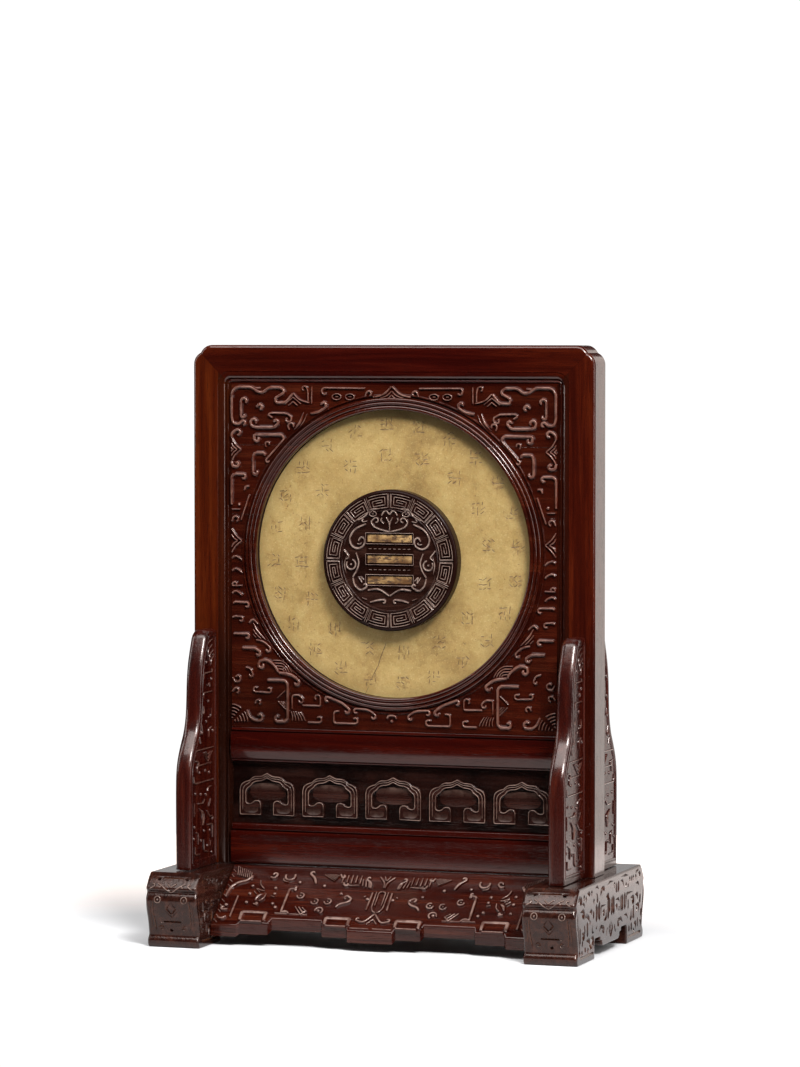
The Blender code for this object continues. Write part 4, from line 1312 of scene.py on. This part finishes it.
def through(points, steps):
    """A smooth curve through the points."""
    points = np.array(points, float)
    points = np.concatenate([2 * points[:1] - points[1:2], points, 2 * points[-1:] - points[-2:-1]])
    path = []
    for a, b, c, d in zip(points, points[1:], points[2:], points[3:]):
        for t in np.arange(steps) / steps:
            bend = (2 * a - 5 * b + 4 * c - d) * t**2 + (3 * b - a - 3 * c + d) * t**3
            path.append(0.5 * (2 * b + (c - a) * t + bend))
    return path + [points[-2]]


nose = np.array(through(nose_line, 3))[::-1]  # from the ground up, as reach and height
# its underside from the nose in: a pad, then the cut-out with a stepped lobe at its middle
under = [(64.8, 0), (32.5, 0), (32, 0.5), (32, 9.4), (31.5, 10.6), (30.4, 11), (21.6, 11), (21.2, 10.6)]
under += [(21.2, 9.2), (20.8, 8.8), (18.4, 8.8), (18, 8.4), *arc((15, 8.3), 3, 0, -90, 5)]
half_foot = [tuple(p) for p in under[::-1]] + [tuple(p) for p in nose]
foot_outline = half_foot + [(-y, z) for y, z in half_foot[::-1]]


class Cuts:
    """Grooves and pits drawn flat, in millimetres, and all broadened and deepened by as much."""

    def __init__(self, broader=1.0, deeper=1.0):
        self.broader = broader
        self.deeper = deeper
        self.grooves = []

    def cut(self, points, width=1.9, depth=0.9, corner=1.2, end=0):
        """A groove along a path, curled at its end where asked."""
        path = rounded(points, corner, 3)
        path = thinned(curled(path, end * 1.3, 290, 0.5, 9) if end else path, 0.2)
        self.grooves.append((path, width * self.broader, depth * self.deeper))

    def pit(self, across, up, radius=1.5):
        path = [(across + share * radius, up) for share in (-1.1, -0.5, 0.5, 1.1)]
        self.grooves.append((path, 2.1 * radius, PIT_DEPTH))


PIT_DEPTH = 2.7
side_work = Cuts(1.5, 1.35)
cut, pit = side_work.cut, side_work.pit
for line in (
    [(-31.4, 39.4), (-27, 40), (-23.6, 38)],
    [(-8, 38.2), (-2, 39.6), (6, 39.2)],
    [(19, 40), (30, 39.8), (36.4, 39)],
    [(50.4, 39), (57, 40)],
):
    cut(line, 1.0, 0.6)
cut([(-57, 33.6), (-53, 33.4), (-51.6, 31)], 1.2)
cut([(-29.4, 36.8), (-26.4, 34.6), (-27.4, 32.6)], 1.2, end=0.7)
cut([(-34, 27.6), (-34.4, 22.4)], 1.7)
cut([(-56.4, 9.6), (-55.4, 13.6)], 1.3)
cut([(-36.8, 20.4), (-37, 15.6), (-33.4, 15)], 1.2)
cut([(-30, 16.6), (-26, 17.4)], 1.0)
cut([(26.4, 17.4), (32, 17.2), (34.8, 14)], 1.1)
cut([(61.6, 17.4), (61.2, 12.4)], 1.4)
cut([(50.4, 32.6), (56, 32.8), (57.4, 30.6)], 1.2)
cut([(35.4, 25.6), (35.2, 19.6)], 1.5)
cut([(-66, 30.5), (-65.6, 22), (-62.6, 14), (-61.8, 7)], 1.1, 0.4, 5)
cut([(66, 30.5), (65.6, 22), (62.6, 14), (61.8, 7)], 1.1, 0.4, 5)
cut([(-65, 35), (-61.5, 37.4), (-58.5, 36.6)], end=-1.1)
cut([(-47, 38.2), (-42.4, 38), (-41.6, 36)])
pits = ((-52.6, 36.6), (-48.8, 35.2), (-37.8, 37.4), (-33.6, 32.4), (7.4, 36.8), (38.6, 36.4), (45.6, 36.6))
pits += ((51, 36.4), (53, 17.2), (-61.4, 6.6), (-56.8, 6.2), (-45.2, 6.4), (46.4, 6), (4, 25.2), (31, 34))
for across, up in pits:
    pit(across, up)
cut([(-21, 33.4), (-18.8, 37.2), (-13.6, 37.8), (-13.4, 35.4)])
cut([(-10, 32), (-5.6, 32.8)], end=-0.9)
cut([(11, 38.4), (10.8, 33.6), (13.6, 32.2)])
cut([(15.6, 38.6), (15.6, 31.6)], 2.0)
cut([(19.5, 37.8), (24, 37.4), (27, 33)], 1.2)
cut([(34, 32.6), (36.4, 34)], 1.6)
cut([(42.4, 38.4), (42.4, 34.8)], 1.4)
cut([(56, 38.2), (59.6, 37.6), (60, 35.4)])
cut([(-60.6, 29.4), (-54.2, 29.6)], end=-1.5)
cut([(-54, 24.4), (-48.6, 26.6), (-43.6, 24.6), (-43, 21)])
cut([(-42.6, 27.4), (-38, 27.8), (-37.8, 25)])
cut([(-46.4, 23), (-46.2, 13.8)], 2.0, 0.8)
cut([(-41.4, 23), (-40.4, 19.8)], 2.0)
cut([(-52.4, 21.6), (-50.6, 16.4)], 1.4)
cut([(-60.4, 21), (-60.2, 11.4)], 1.6)
cut([(-57.6, 17.2), (-53.6, 17)], end=-1.3)
broad = ((-25.6, 21, 29.6, 3.6), (3.8, 21, 32, 3.6), (24.8, 20.6, 29, 4.2), (45, 13, 19, 3.6))
for across, bottom, top, width in broad:
    cut([(across, bottom), (across, top)], width, 0.5)
cut([(-43, 8.6), (-33, 9.4)], 3.2, 0.5)
upright_cuts = ((-28.6, 20, 30.6), (-22.8, 20, 31.6), (-5.4, 18.6, 30.6), (-2.6, 22, 31), (1.8, 20, 31))
upright_cuts += ((6.0, 20, 31), (20.8, 20, 30), (23.6, 20, 30), (28.4, 20, 30.6))
for across, bottom, top in upright_cuts:
    cut([(across, bottom), (across, top)], 2.2)
cut([(-19.6, 21.6), (-19.6, 27.8), (-9.4, 27.8)], 1.2)
cut([(-17, 24.8), (-14, 25)], 1.5, end=-1.0)
cut([(-9.2, 25.4), (-9.4, 20), (-14.6, 19.4)])
cut([(9, 28.2), (16, 28.2), (17.4, 25.6)], 1.2)
cut([(9, 24.8), (12.4, 24.8), (12.4, 21.4)])
cut([(15, 21.4), (18, 23.4)])
cut([(31.8, 21.6), (31.8, 28.8), (46.4, 28.8)], 1.4)
cut([(39.6, 25.8), (45.6, 25.6)], end=-1.4)
cut([(49, 26.4), (54.4, 26.2), (54.6, 22.4)])
cut([(60.4, 26), (59, 20)])
cut([(41.4, 20), (41.4, 13.8), (38.6, 13.6)], 1.9, 0.8)
cut([(46, 21.4), (46, 12.6)], 2.0, 0.8)
cut([(50, 20.4), (57, 20), (57.2, 14.6)], 1.8)
cut([(0, 18), (3.6, 13.4), (0, 8.8), (-3.6, 13.4), (-0.3, 17.7)], 1.2, 0.6, 0.3)
cut([(0, 15.8), (0, 11)], 1.2)
for side in (-1, 1):
    cut([(side * 24, 13.8), (side * 20, 16.6), (side * 14.6, 15.8)], 1.5, end=side * 1.2)
    cut([(side * 9.6, 10), (side * 6.6, 14.6)], 1.2)
    cut([(side * 61, 3.8), (side * 34, 3.8)], 1.2, 0.5)
cut([(-50.6, 12), (-42.6, 12), (-42.4, 9.2)])
cut([(-39.6, 12.6), (-34.8, 12.4), (-34.8, 7)])
cut([(-52, 9), (-49, 6.2)])
cut([(-40.6, 6), (-38.6, 9)])
cut([(37, 10.6), (37, 6)])
cut([(41.8, 11.6), (41.8, 6)], 1.9)
cut([(46.6, 10.2), (50.6, 10.2), (50.6, 6)])
cut([(54.4, 13), (54.4, 7)], 1.6)
cut([(58.2, 10.6), (61, 9.6), (60.4, 6)], 1.4)

nose_work = Cuts()
cut, pit = nose_work.cut, nose_work.pit
cut([(-6.8, 39.2), (6.8, 39.2)], 2.3, 0.7)
for side in (-1, 1):
    pit(side * 8.4, 38.7, 1.1)
    cut([(side * 10.8, 28), (side * 11.3, 22), (side * 10.9, 14), (side * 10, 9.4)], 1.0, 0.35, 5)
    cut([(side * 12.5, 27), (side * 12.8, 18), (side * 12.4, 10)], 0.7, 0.25, 5)
    cut([(side * 9, 11.4), (side * 7, 12.4)], 0.9, 0.4, end=side * 0.9)
cut([(0, 26.4), (2.8, 22.4), (0, 19.2), (-2.8, 22.4), (-0.3, 26)], 0.9, 0.45, 0.3)
cut([(-4.4, 22), (0, 17.4), (4.4, 22)], 0.7, 0.3, 0.3)
cut([(-5.4, 14.6), (6, 14.6)], 1.5, 0.8)
pit(1, 10, 1.0)

EDGE = 0.8  # the rounding of a foot's edges
NOSE_EDGE = 2.0  # and of its front's upright edges
NOSE_HALF = (FOOT_OUT - FOOT_IN) / 2 - NOSE_EDGE
nose_slope = np.gradient(nose[:, 0], nose[:, 1])
nose_slope = nose_slope / np.sqrt(1 + nose_slope**2)


def on_nose(facing):
    """Lay on the front of a foot, or on its back: across from its middle, height and lift."""

    def lay(a, b, lift):
        reach = np.interp(b, nose[:, 1], nose[:, 0])
        fall = np.interp(b, nose[:, 1], nose_slope)
        out = float(reach + lift * math.sqrt(1 - fall**2))
        return (FOOT_MIDDLE - facing * a, facing * out, float(b - lift * fall))

    return lay


count = len(foot_outline)
first_nose = len(under)


def inset_at(radius, place):
    """How far a rounded edge lies in, a given way round from the side."""
    return radius - math.sqrt(radius**2 - max(radius - place, 0) ** 2)


def foot_loop(place):
    """The outline of a foot, that far in from its side."""
    inset = inset_at(EDGE, place)
    loop = []
    for at, ((y, z), (full_y, full_z)) in enumerate(zip(shrunk(foot_outline, inset), foot_outline)):
        if min(at, count - 1 - at) >= first_nose:
            radius = np.interp(full_z, (0.6, 7, 36, nose_top), (EDGE, NOSE_EDGE, NOSE_EDGE, EDGE))
            y -= math.copysign(inset_at(radius, place) - inset, y)
        loop.append((y, z))
    return loop


places = [NOSE_EDGE * (1 - math.sin(math.radians(t))) for t in (90, 72, 54, 36, 18, 0)]
rows = [[(FOOT_OUT - place, y, z) for y, z in foot_loop(place)] for place in places]
rows += [[(FOOT_OUT + FOOT_IN - x, y, z) for x, y, z in row] for row in rows[::-1]]
points, faces = skin(rows)
kept = []
for face in faces[:-2]:
    row, place = divmod(face[0], count)
    half_place = min(place, count - 2 - place)
    if row != len(places) - 1 or not first_nose <= half_place < count // 2 - 1:
        kept.append(face[::-1])
edge = foot_loop(0)
parts = [plain((points, kept), 0.5)]
parts.append(engraved(edge, [], side_work.grooves, lambda a, b, lift: (FOOT_OUT + lift, a, b)))
parts.append(engraved(edge, [], side_work.grooves, lambda a, b, lift: (FOOT_IN - lift, -a, b)))
levels = [float(z) for z in nose[:, 1]]
front_edge = [(NOSE_HALF, z) for z in levels] + [(-NOSE_HALF, z) for z in levels[::-1]]
crossings = [[(-NOSE_HALF, z), (NOSE_HALF, z)] for z in levels[1:-1]]
for facing in (-1, 1):
    parts.append(engraved(front_edge, crossings, nose_work.grooves, on_nose(facing)))
    face = Carving(on_nose(facing), 0.9, 0.5, longest=1.0)
    face.ridge([(-6.4, 35.6), (0, 31.8), (6.4, 35.6)], corner=0.4)
    face.ridge([(-3, 36.6), (0, 34.6), (3, 36.6)], corner=0.4, width=0.7)
    for side in (-1, 1):
        face.eye(side * 8, 27.6, 1.8)
        face.ridge([(side * 13, 33.6), (side * 10.4, 34.8)], end=-side * 0.9)
        face.ridge([(side * 8.6, 36.4), (side * 6.6, 35.8)], end=side * 0.8, width=0.7)
    face.stud(6.6, 14.4, 0.55)
    parts.append(face.part())
FOOT_TONES = ((0.009, 0.0022, 0.0016), (0.020, 0.0058, 0.0038), (0.050, 0.0160, 0.0100))
FOOT_CARVED = {"worn": (0.260, 0.180, 0.150), "sunken": (0.075, 0.026, 0.011), "tooled": 1.0}
foot_wood = redwood("foot_zitan", "Y", FOOT_TONES, roughness=0.09, coat=0, shine=0.42, **FOOT_CARVED)
foot = joined(*parts)
for hand, part in (("right", foot), ("left", mirror_image(foot))):
    fit_piece(f"carved_foot_{hand}", part, foot_wood, "dark_wood", f"foot_{hand}", crisp=34, weld=True)

# ------------------------------------------------------------- the four brackets
# Shaped boards of redwood, tenoned into the feet, that clasp the stiles before and behind. Their outer edge
# is rounded and polished; a bead follows it on both sides, round a sunk field of small archaic scrolls.

bracket_low, bracket_high = millimetres("spandrel_front_right")
BRACKET_MIDDLE = (bracket_low[0] + bracket_high[0]) / 2
BRACKET_HALF = (bracket_high[0] - bracket_low[0]) / 2
BRACKET_INNER = -bracket_high[1]
BRACKET_FOOT, BRACKET_TOP = bracket_low[2], bracket_high[2]
BRACKET_GROUND = 0.36  # the crest value of the uncarved board, painted a little darker as shade
side_line = arc((21.2, BRACKET_TOP - 9), 9, 90, 30, 6)
hip = [(32.3, 166), (34.8, 159), (36.6, 150), (37.4, 139), (38.5, 129.5), (41.5, 121), (46.2, 114)]
hip += [(50.3, 107), (52.9, 99), (53.7, 86), (53.6, 64), (53.3, BRACKET_FOOT)]
bracket_edge = [(BRACKET_INNER, BRACKET_TOP), (16, BRACKET_TOP), *side_line, *through(hip, 4)]


def bracket_loop(inset, below, beside):
    """The outline from the top round the outer edge to the foot; moved in, raised and kept off the frame."""
    path = np.array(bracket_edge, float)
    slope = np.gradient(path, axis=0)
    slope /= np.hypot(*slope.T)[:, None]
    moved = path + np.stack([slope[:, 1], -slope[:, 0]], 1) * inset
    moved[0] = (BRACKET_INNER + beside, BRACKET_TOP - inset)
    moved[-1, 1] = BRACKET_FOOT + below
    moved[:, 1] = np.maximum(moved[:, 1], BRACKET_FOOT + below)
    moved[:, 0] = np.maximum(moved[:, 0], BRACKET_INNER + beside)
    return [*moved, (BRACKET_INNER + beside, BRACKET_FOOT + below)]


FIELD_SUNK = 0.55
BRACKET_ROUND = (3.7, 2.0)  # of its outer edge: in from the edge, and back from the face
# from the field to the middle of the edge: how far in from the face, outer edge, foot and frame
profile = [(FIELD_SUNK, 4.95, 5.0, 2.6), (FIELD_SUNK - 0.05, 4.75, 4.8, 2.4), (0.1, 4.45, 4.5, 2.1)]
profile += [(-0.12, 4.1, 4.1, 1.8), (-0.12, 3.8, 3.8, 1.6), (0.15, 3.45, 3.4, 1.3), (0.35, 3.2, 3.1, 1.1)]
profile += [(0.0, 2.9, 2.7, 0.8), (0.0, 2.3, 0.9, 0.3)]
for back, inset in arc((0, 0), BRACKET_ROUND, 0, 90, 9)[1:]:
    profile.append((BRACKET_ROUND[0] - back, BRACKET_ROUND[1] - inset, 0.2, 0))
rows = []
for sunk, inset, below, beside in profile:
    rows.append([(BRACKET_HALF - sunk, -out, z) for out, z in bracket_loop(inset, below, beside)])
rows += [[(-x, y, z) for x, y, z in row] for row in rows[::-1]]
points, faces = skin(rows)
sunk_fields = (len(faces) - 2, len(faces) - 1)
marks = Carving(lambda a, b, lift: (BRACKET_HALF - FIELD_SUNK + lift, a, b), 1.0, 0.75)
ridge, stud = marks.ridge, marks.stud
for step in range(4):
    across, up = 2.2 * step - 26.4, 171.8 - 2.9 * step
    ridge([(across - 1, up - 6), (across, up - 2.2), (across + 5, up), (-17.4, up + 0.4)], 0.8, corner=4)
studs = ((27, 159.5), (19, 149.5), (24, 137), (27, 125.5), (29, 97.5), (23, 96), (44, 85.4), (36, 84.5))
studs += ((28, 83.6), (46, 66.5), (47, 60), (31, 63), (22, 62.5), (36, 58), (26, 54), (19, 49.6), (38, 97))
studs += ((17, 119.6),)
for out, up in studs:
    stud(-out, up, 1.05)
ridge([(-31.6, 150), (-31.4, 153.4), (-19.4, 153.6)], end=0.8)
ridge([(-26.4, 146), (-22.4, 147.6), (-21.6, 145)])
ridge([(-32, 139), (-31.8, 142.2), (-17.4, 142.4)])
ridge([(-32, 134.6), (-31, 132)], end=-1.5)
ridge([(-20, 132.6), (-20, 128), (-24.6, 127.6)])
ridge([(-35, 124.4), (-33.4, 120.6)], end=-1.5)
ridge([(-19.4, 122), (-24, 120.8), (-24, 116)])
ridge([(-38, 117.4), (-36, 113.4)], 1.3)
ridge([(-45.4, 106.4), (-44.4, 110), (-16.6, 110.2)])
for step in range(3):
    ridge([(-33 + 2 * step, 108.2), (-25.6, 102.4 + 2 * step), (-18.6 - 2 * step, 108.2)], 0.8, corner=0.6)
ridge([(-44.4, 104), (-40.6, 103.6)], end=-1.2)
ridge([(-42.4, 97.4), (-41.6, 101.2), (-19.6, 101.4)])
ridge([(-47.4, 95.6), (-46.4, 91.4), (-16.4, 91.6)])
ridge([(-19, 88), (-24.6, 87.6), (-26, 85.4)])
ridge([(-46.6, 80.4), (-46.4, 72.4)], 1.2)
ridge([(-40.6, 79.4), (-33, 79.2), (-30.6, 81.4)])
ridge([(-20.6, 80.6), (-24.4, 76.4)], 1.3)
for step in range(4):
    feather = [(-38.6 + 1.6 * step, 76.4 - 0.6 * step), (-34 + step, 72.6), (-34.4 + 0.4 * step, 66.4)]
    ridge(feather, 0.8, corner=3)
ridge([(-27.4, 74.4), (-22.8, 70.6), (-18.4, 70.4)], end=-1.1)
ridge([(-44.4, 63.4), (-40.4, 62.4), (-40.4, 56)])
ridge([(-26, 66), (-18.4, 66), (-18.2, 58)])
ridge([(-32, 58.4), (-31.4, 51.4), (-25, 50.6)])
ridge([(-45.4, 55.4), (-45.4, 50.6), (-37.4, 50.4)])
ridge([(-22, 57), (-22.4, 53.4)], 1.3)
marks.mirrored()
points, faces, crest = joined(plain((points, faces), BRACKET_GROUND), marks.part())
BRACKET_TONES = ((0.014, 0.0010, 0.0006), (0.027, 0.0026, 0.0013), (0.056, 0.0090, 0.0044))
BRACKET_WORN_AND_SHEEN = (0.170, 0.090, 0.066)
bracket_wood = redwood("bracket_redwood", "Z", BRACKET_TONES, roughness=0.21, worn=BRACKET_WORN_AND_SHEEN, tooled=1.2)
field_wood = redwood("bracket_field", "Z", BRACKET_TONES, coat=0, shine=0.22, worn=BRACKET_WORN_AND_SHEEN, tooled=2.0)
for side, hand in ((-1, "left"), (1, "right")):
    for facing, place in ((1, "front"), (-1, "back")):
        turned = [(side * (BRACKET_MIDDLE + x), facing * y, z) for x, y, z in points]
        part = (turned, faces if side * facing > 0 else flipped(faces), crest)
        node = f"spandrel_{place}_{hand}"
        piece = fit_piece(f"carved_bracket_{place}_{hand}", part, bracket_wood, "red_wood", node, crisp=36)
        piece.data.materials.append(field_wood)
        for field in sunk_fields:
            piece.data.polygons[field].material_index = 1

# ------------------------------------------------------------- the two aprons
# Sloping boards of redwood between the feet, before and behind, with a stepped lower edge. Each is carved in
# low relief, with a nose and brows at its middle, and closes the base under the bottom rail.

apron_high = millimetres("apron_front")[1]
SLOPE_START = 10.8
FALL = 0.795
ALONG_SLOPE = math.hypot(1, FALL)
APRON_TOP = apron_high[2]
APRON_HALF = apron_high[0]
APRON_DEEP = 7.2
APRON_BACK = 0.15  # how far its back stands from the middle of the screen
APRON_GROUND = 0.3  # the crest value of the uncarved board, painted somewhat darker as shade
lower_edge = [(14, 48.8), (30, 46.2), (61.2, 43.4), (79.6, 46.6), (APRON_HALF, 48.5)]  # along to, and out


def on_slope(a, b, lift):
    """Across, up the slope (below 0) and lift, on the front apron."""
    out = SLOPE_START - b / ALONG_SLOPE
    return (a, -out - lift * FALL / ALONG_SLOPE, APRON_TOP - (out - SLOPE_START) * FALL + lift / ALONG_SLOPE)


stepped = []
start = 0
for end, out in lower_edge:
    ends = (start + 0.7 if start else 0, end - 0.7 if end < APRON_HALF else end)
    stepped += [(x, SLOPE_START - out) for x in ends]
    start = end
outline = [(-x, b) for x, b in stepped[::-1]] + stepped[1:] + [(APRON_HALF, 0), (-APRON_HALF, 0)]
rounding = ((0.6, 0.0), (0.18, 0.18), (0, 0.6), (0, APRON_DEEP - 0.5), (0.5, APRON_DEEP))
rows = []
for inset, drop in rounding:
    row = []
    for (x, b), (full_x, full_b) in zip(shrunk(outline, inset) if inset else outline, outline):
        x, y, z = on_slope(x, (b if full_b < 0 else full_b) * ALONG_SLOPE, 0)
        row.append((x, y, z - drop))
    rows.append(row)
points, faces = skin(rows)
slope = plain((points, flipped(faces)), APRON_GROUND)
# behind the slope, a level part runs back to the middle of the screen
level_part = [(x, y, APRON_TOP) for y in (-SLOPE_START, -APRON_BACK) for x in (-APRON_HALF, APRON_HALF)]
level_part += [(x, y, z - APRON_DEEP) for x, y, z in level_part]
level_faces = ((0, 1, 3, 2), (4, 6, 7, 5), (2, 3, 7, 6), (0, 2, 6, 4), (1, 5, 7, 3))

relief = Carving(on_slope, 2.0, 1.25)
ridge, stud = relief.ridge, relief.stud
for step in range(8):
    ridge([(-92 + 1.35 * step, -2.2 - 0.6 * step), (-90.4 + 1.25 * step, -9.6 - 0.35 * step)], 1.1, corner=2)
for step in range(11):
    ridge([(-94.6, -4.5 - 4 * step), (-92.4, -6.6 - 4 * step)], 1, 0.6)
ridge([(-92.9, -27), (-92, -19), (-88.4, -15), (-83.2, -13.4), (-81, -9)], 2.5, corner=4)
ridge([(-85.4, -25.4), (-85.6, -42.6)], 1.9)
ridge([(-88, -41.6), (-90, -44), (-93.4, -43)], 1.5)
studs = ((-90.6, -33), (-79, -17.4), (-79, -23.4), (-79, -30.4), (-72.6, -31), (-63, -30.6), (-64.6, -18.4))
studs += ((-64, -22.8), (-51.4, -13), (-36, -15), (-34.4, -34.6), (-24.4, -20.6), (-60.6, -33.4))
studs += ((-52.6, -19), (-7.6, -24))
for across, down in studs:
    stud(across, down, 1.35)
ridge([(-70.6, -9.6), (-68, -10.8), (-66.6, -8.6)], end=1.5)
ridge([(-76, -19.4), (-73.2, -22.4)], 1.0)
ridge([(-77, -21.4), (-74.6, -24)], 1.0)
ridge([(-74.8, -31.2), (-71.6, -32.6)], 1.6)
ridge([(-88.4, -36.4), (-91.6, -36.8)], end=-1.2)
ridge([(-66, -24.6), (-63.2, -25.6)], 1.4)
ridge(arc((-58.4, -8.6), 2.9, 150, 400, 14), 1.8, corner=0.1)
ridge([(-62, -10.4), (-61.4, -12.6), (-58, -13.4)], 1, corner=2)
ridge([(-75.4, -12.6), (-74.4, -16.6), (-71, -19.6)], 1.2, corner=3)
ridge([(-75.6, -19.4), (-72.4, -21), (-70.4, -21)], 1.1)
ridge([(-70.8, -23.2), (-73.4, -25), (-74.6, -28.8)], 2.4, corner=4, taper=0.4)
ridge([(-69, -23), (-69.4, -27), (-72, -29.2)], 1.2, corner=3)
ridge([(-53, -18.2), (-56, -18.6), (-56.2, -36.8), (-52.6, -37)], 1.9, corner=1.2, start=1.0)
ridge([(-60, -37.6), (-40, -38)], 1.1, 0.6)
for across, down in ((-48, -23.6), (-38.4, -27.6), (-30.6, -27.2)):
    ridge(arc((across, down), 2.0, 120, -190, 14), 1.4, corner=0.1)
    stud(across, down, 0.8)
ridge(arc((-34, -34.6), 2.3, 200, -70, 12), 1.5, corner=0.1)
ridge([(-56.8, -37.2), (-53.4, -35.8), (-51, -38.2)], 1.5, corner=2)
ridge([(-10.4, -22.6), (-9, -21.6)], 1.4)
ridge([(-46.4, -6.4), (-43.4, -9), (-41.4, -14)], 2.1, corner=3, start=-1.3)
for step in range(5):
    ridge([(-38.2 + 1.5 * step, -6.2 + 0.1 * step), (-30.8 + 0.5 * step, -10.9 + 1.0 * step)], 0.95)
ridge([(-28.8, -5.2), (-27.4, -7.6)], end=1.1)
ridge([(-25.4, -11.4), (-24.2, -13.8)], end=1.2)
for step in range(3):
    ridge([(-14.2 + 1.8 * step, -8.6 - 0.2 * step), (-13.2 + 2.1 * step, -14.2 - 0.5 * step)], 1.4, corner=2)
for step, across in enumerate((-26.4, -23.6, -21, -18.4, -15.6)):
    ridge([(across, -5.4 - 0.4 * (step % 2)), (across + 0.2, -12.6 + 0.8 * (step % 2))], 1.6)
ridge([(-25.6, -13.4), (-20, -14), (-15, -13.4)], 1.1, corner=2)
ridge([(-11.6, -9), (-8.8, -11), (-8, -15.6)], 2, corner=3, start=-1.2)
limb = [(-19.6, -22.4), (-16.8, -24.4), (-18.8, -27.4), (-23.4, -28.8), (-25, -31.6)]
ridge(limb, 1.8, corner=2.4, start=1.4)
for step in range(3):
    pleat = [(-49 + 2.2 * step, -32 - 0.3 * step), (-44 + step, -38.4 + 1.6 * step), (-41 - 0.3 * step, -35)]
    ridge(pleat, 1.4, corner=0.6)
for left, right, top, bottom in ((-79.2, -64.8, -38, -44.6), (-28, -14, -40, -45.4)):
    ridge([(left, bottom), (left, top), (right, top), (right, bottom)], 3.3, 1.1, 0.7)
    ridge([(left + 0.6, bottom - 0.5), (right - 0.6, bottom - 0.5)], 1.6)
ridge([(-4.6, -6), (-0.6, -11), (-0.4, -15)], 1.6, corner=2)
ridge([(-1.8, -5.6), (-0.2, -9.4)], 1.1)
ridge([(-5.8, -18.4), (-6.2, -32.6)], 1.9)
ridge([(-3.6, -18), (-3.4, -31), (-1.8, -33.8), (0, -34.4)], 1.2, corner=2)
ridge([(0, -17.8), (-2, -18.6), (-2, -29)], 1, corner=1)
ridge([(0, -35), (-2.6, -39), (-5.4, -42.4), (-9.4, -41)], 1.6, corner=3, end=-1.1)
ridge([(0, -39.4), (-3, -43.4)], 1.1)
ridge([(-1, -46.4), (-12.6, -46.6)], 1, 0.5)
relief.mirrored()
points, faces, crest = joined(slope, plain((level_part, level_faces), APRON_GROUND), relief.part())
APRON_TONES = ((0.013, 0.0010, 0.0005), (0.028, 0.0030, 0.0012), (0.058, 0.0105, 0.0044))
APRON_WORN_AND_SHEEN = (0.270, 0.175, 0.145)
APRON_POLISH = {"roughness": 0.10, "coat": 0.06, "shine": 0.42}
apron_wood = redwood("apron_redwood", "X", APRON_TONES, **APRON_POLISH, worn=APRON_WORN_AND_SHEEN, tooled=0.4)
behind = ([(x, -y, z) for x, y, z in points], flipped(faces), crest)
for place, part in (("front", (points, faces, crest)), ("back", behind)):
    fit_piece(f"carved_apron_{place}", part, apron_wood, "red_wood", f"apron_{place}", crisp=36)
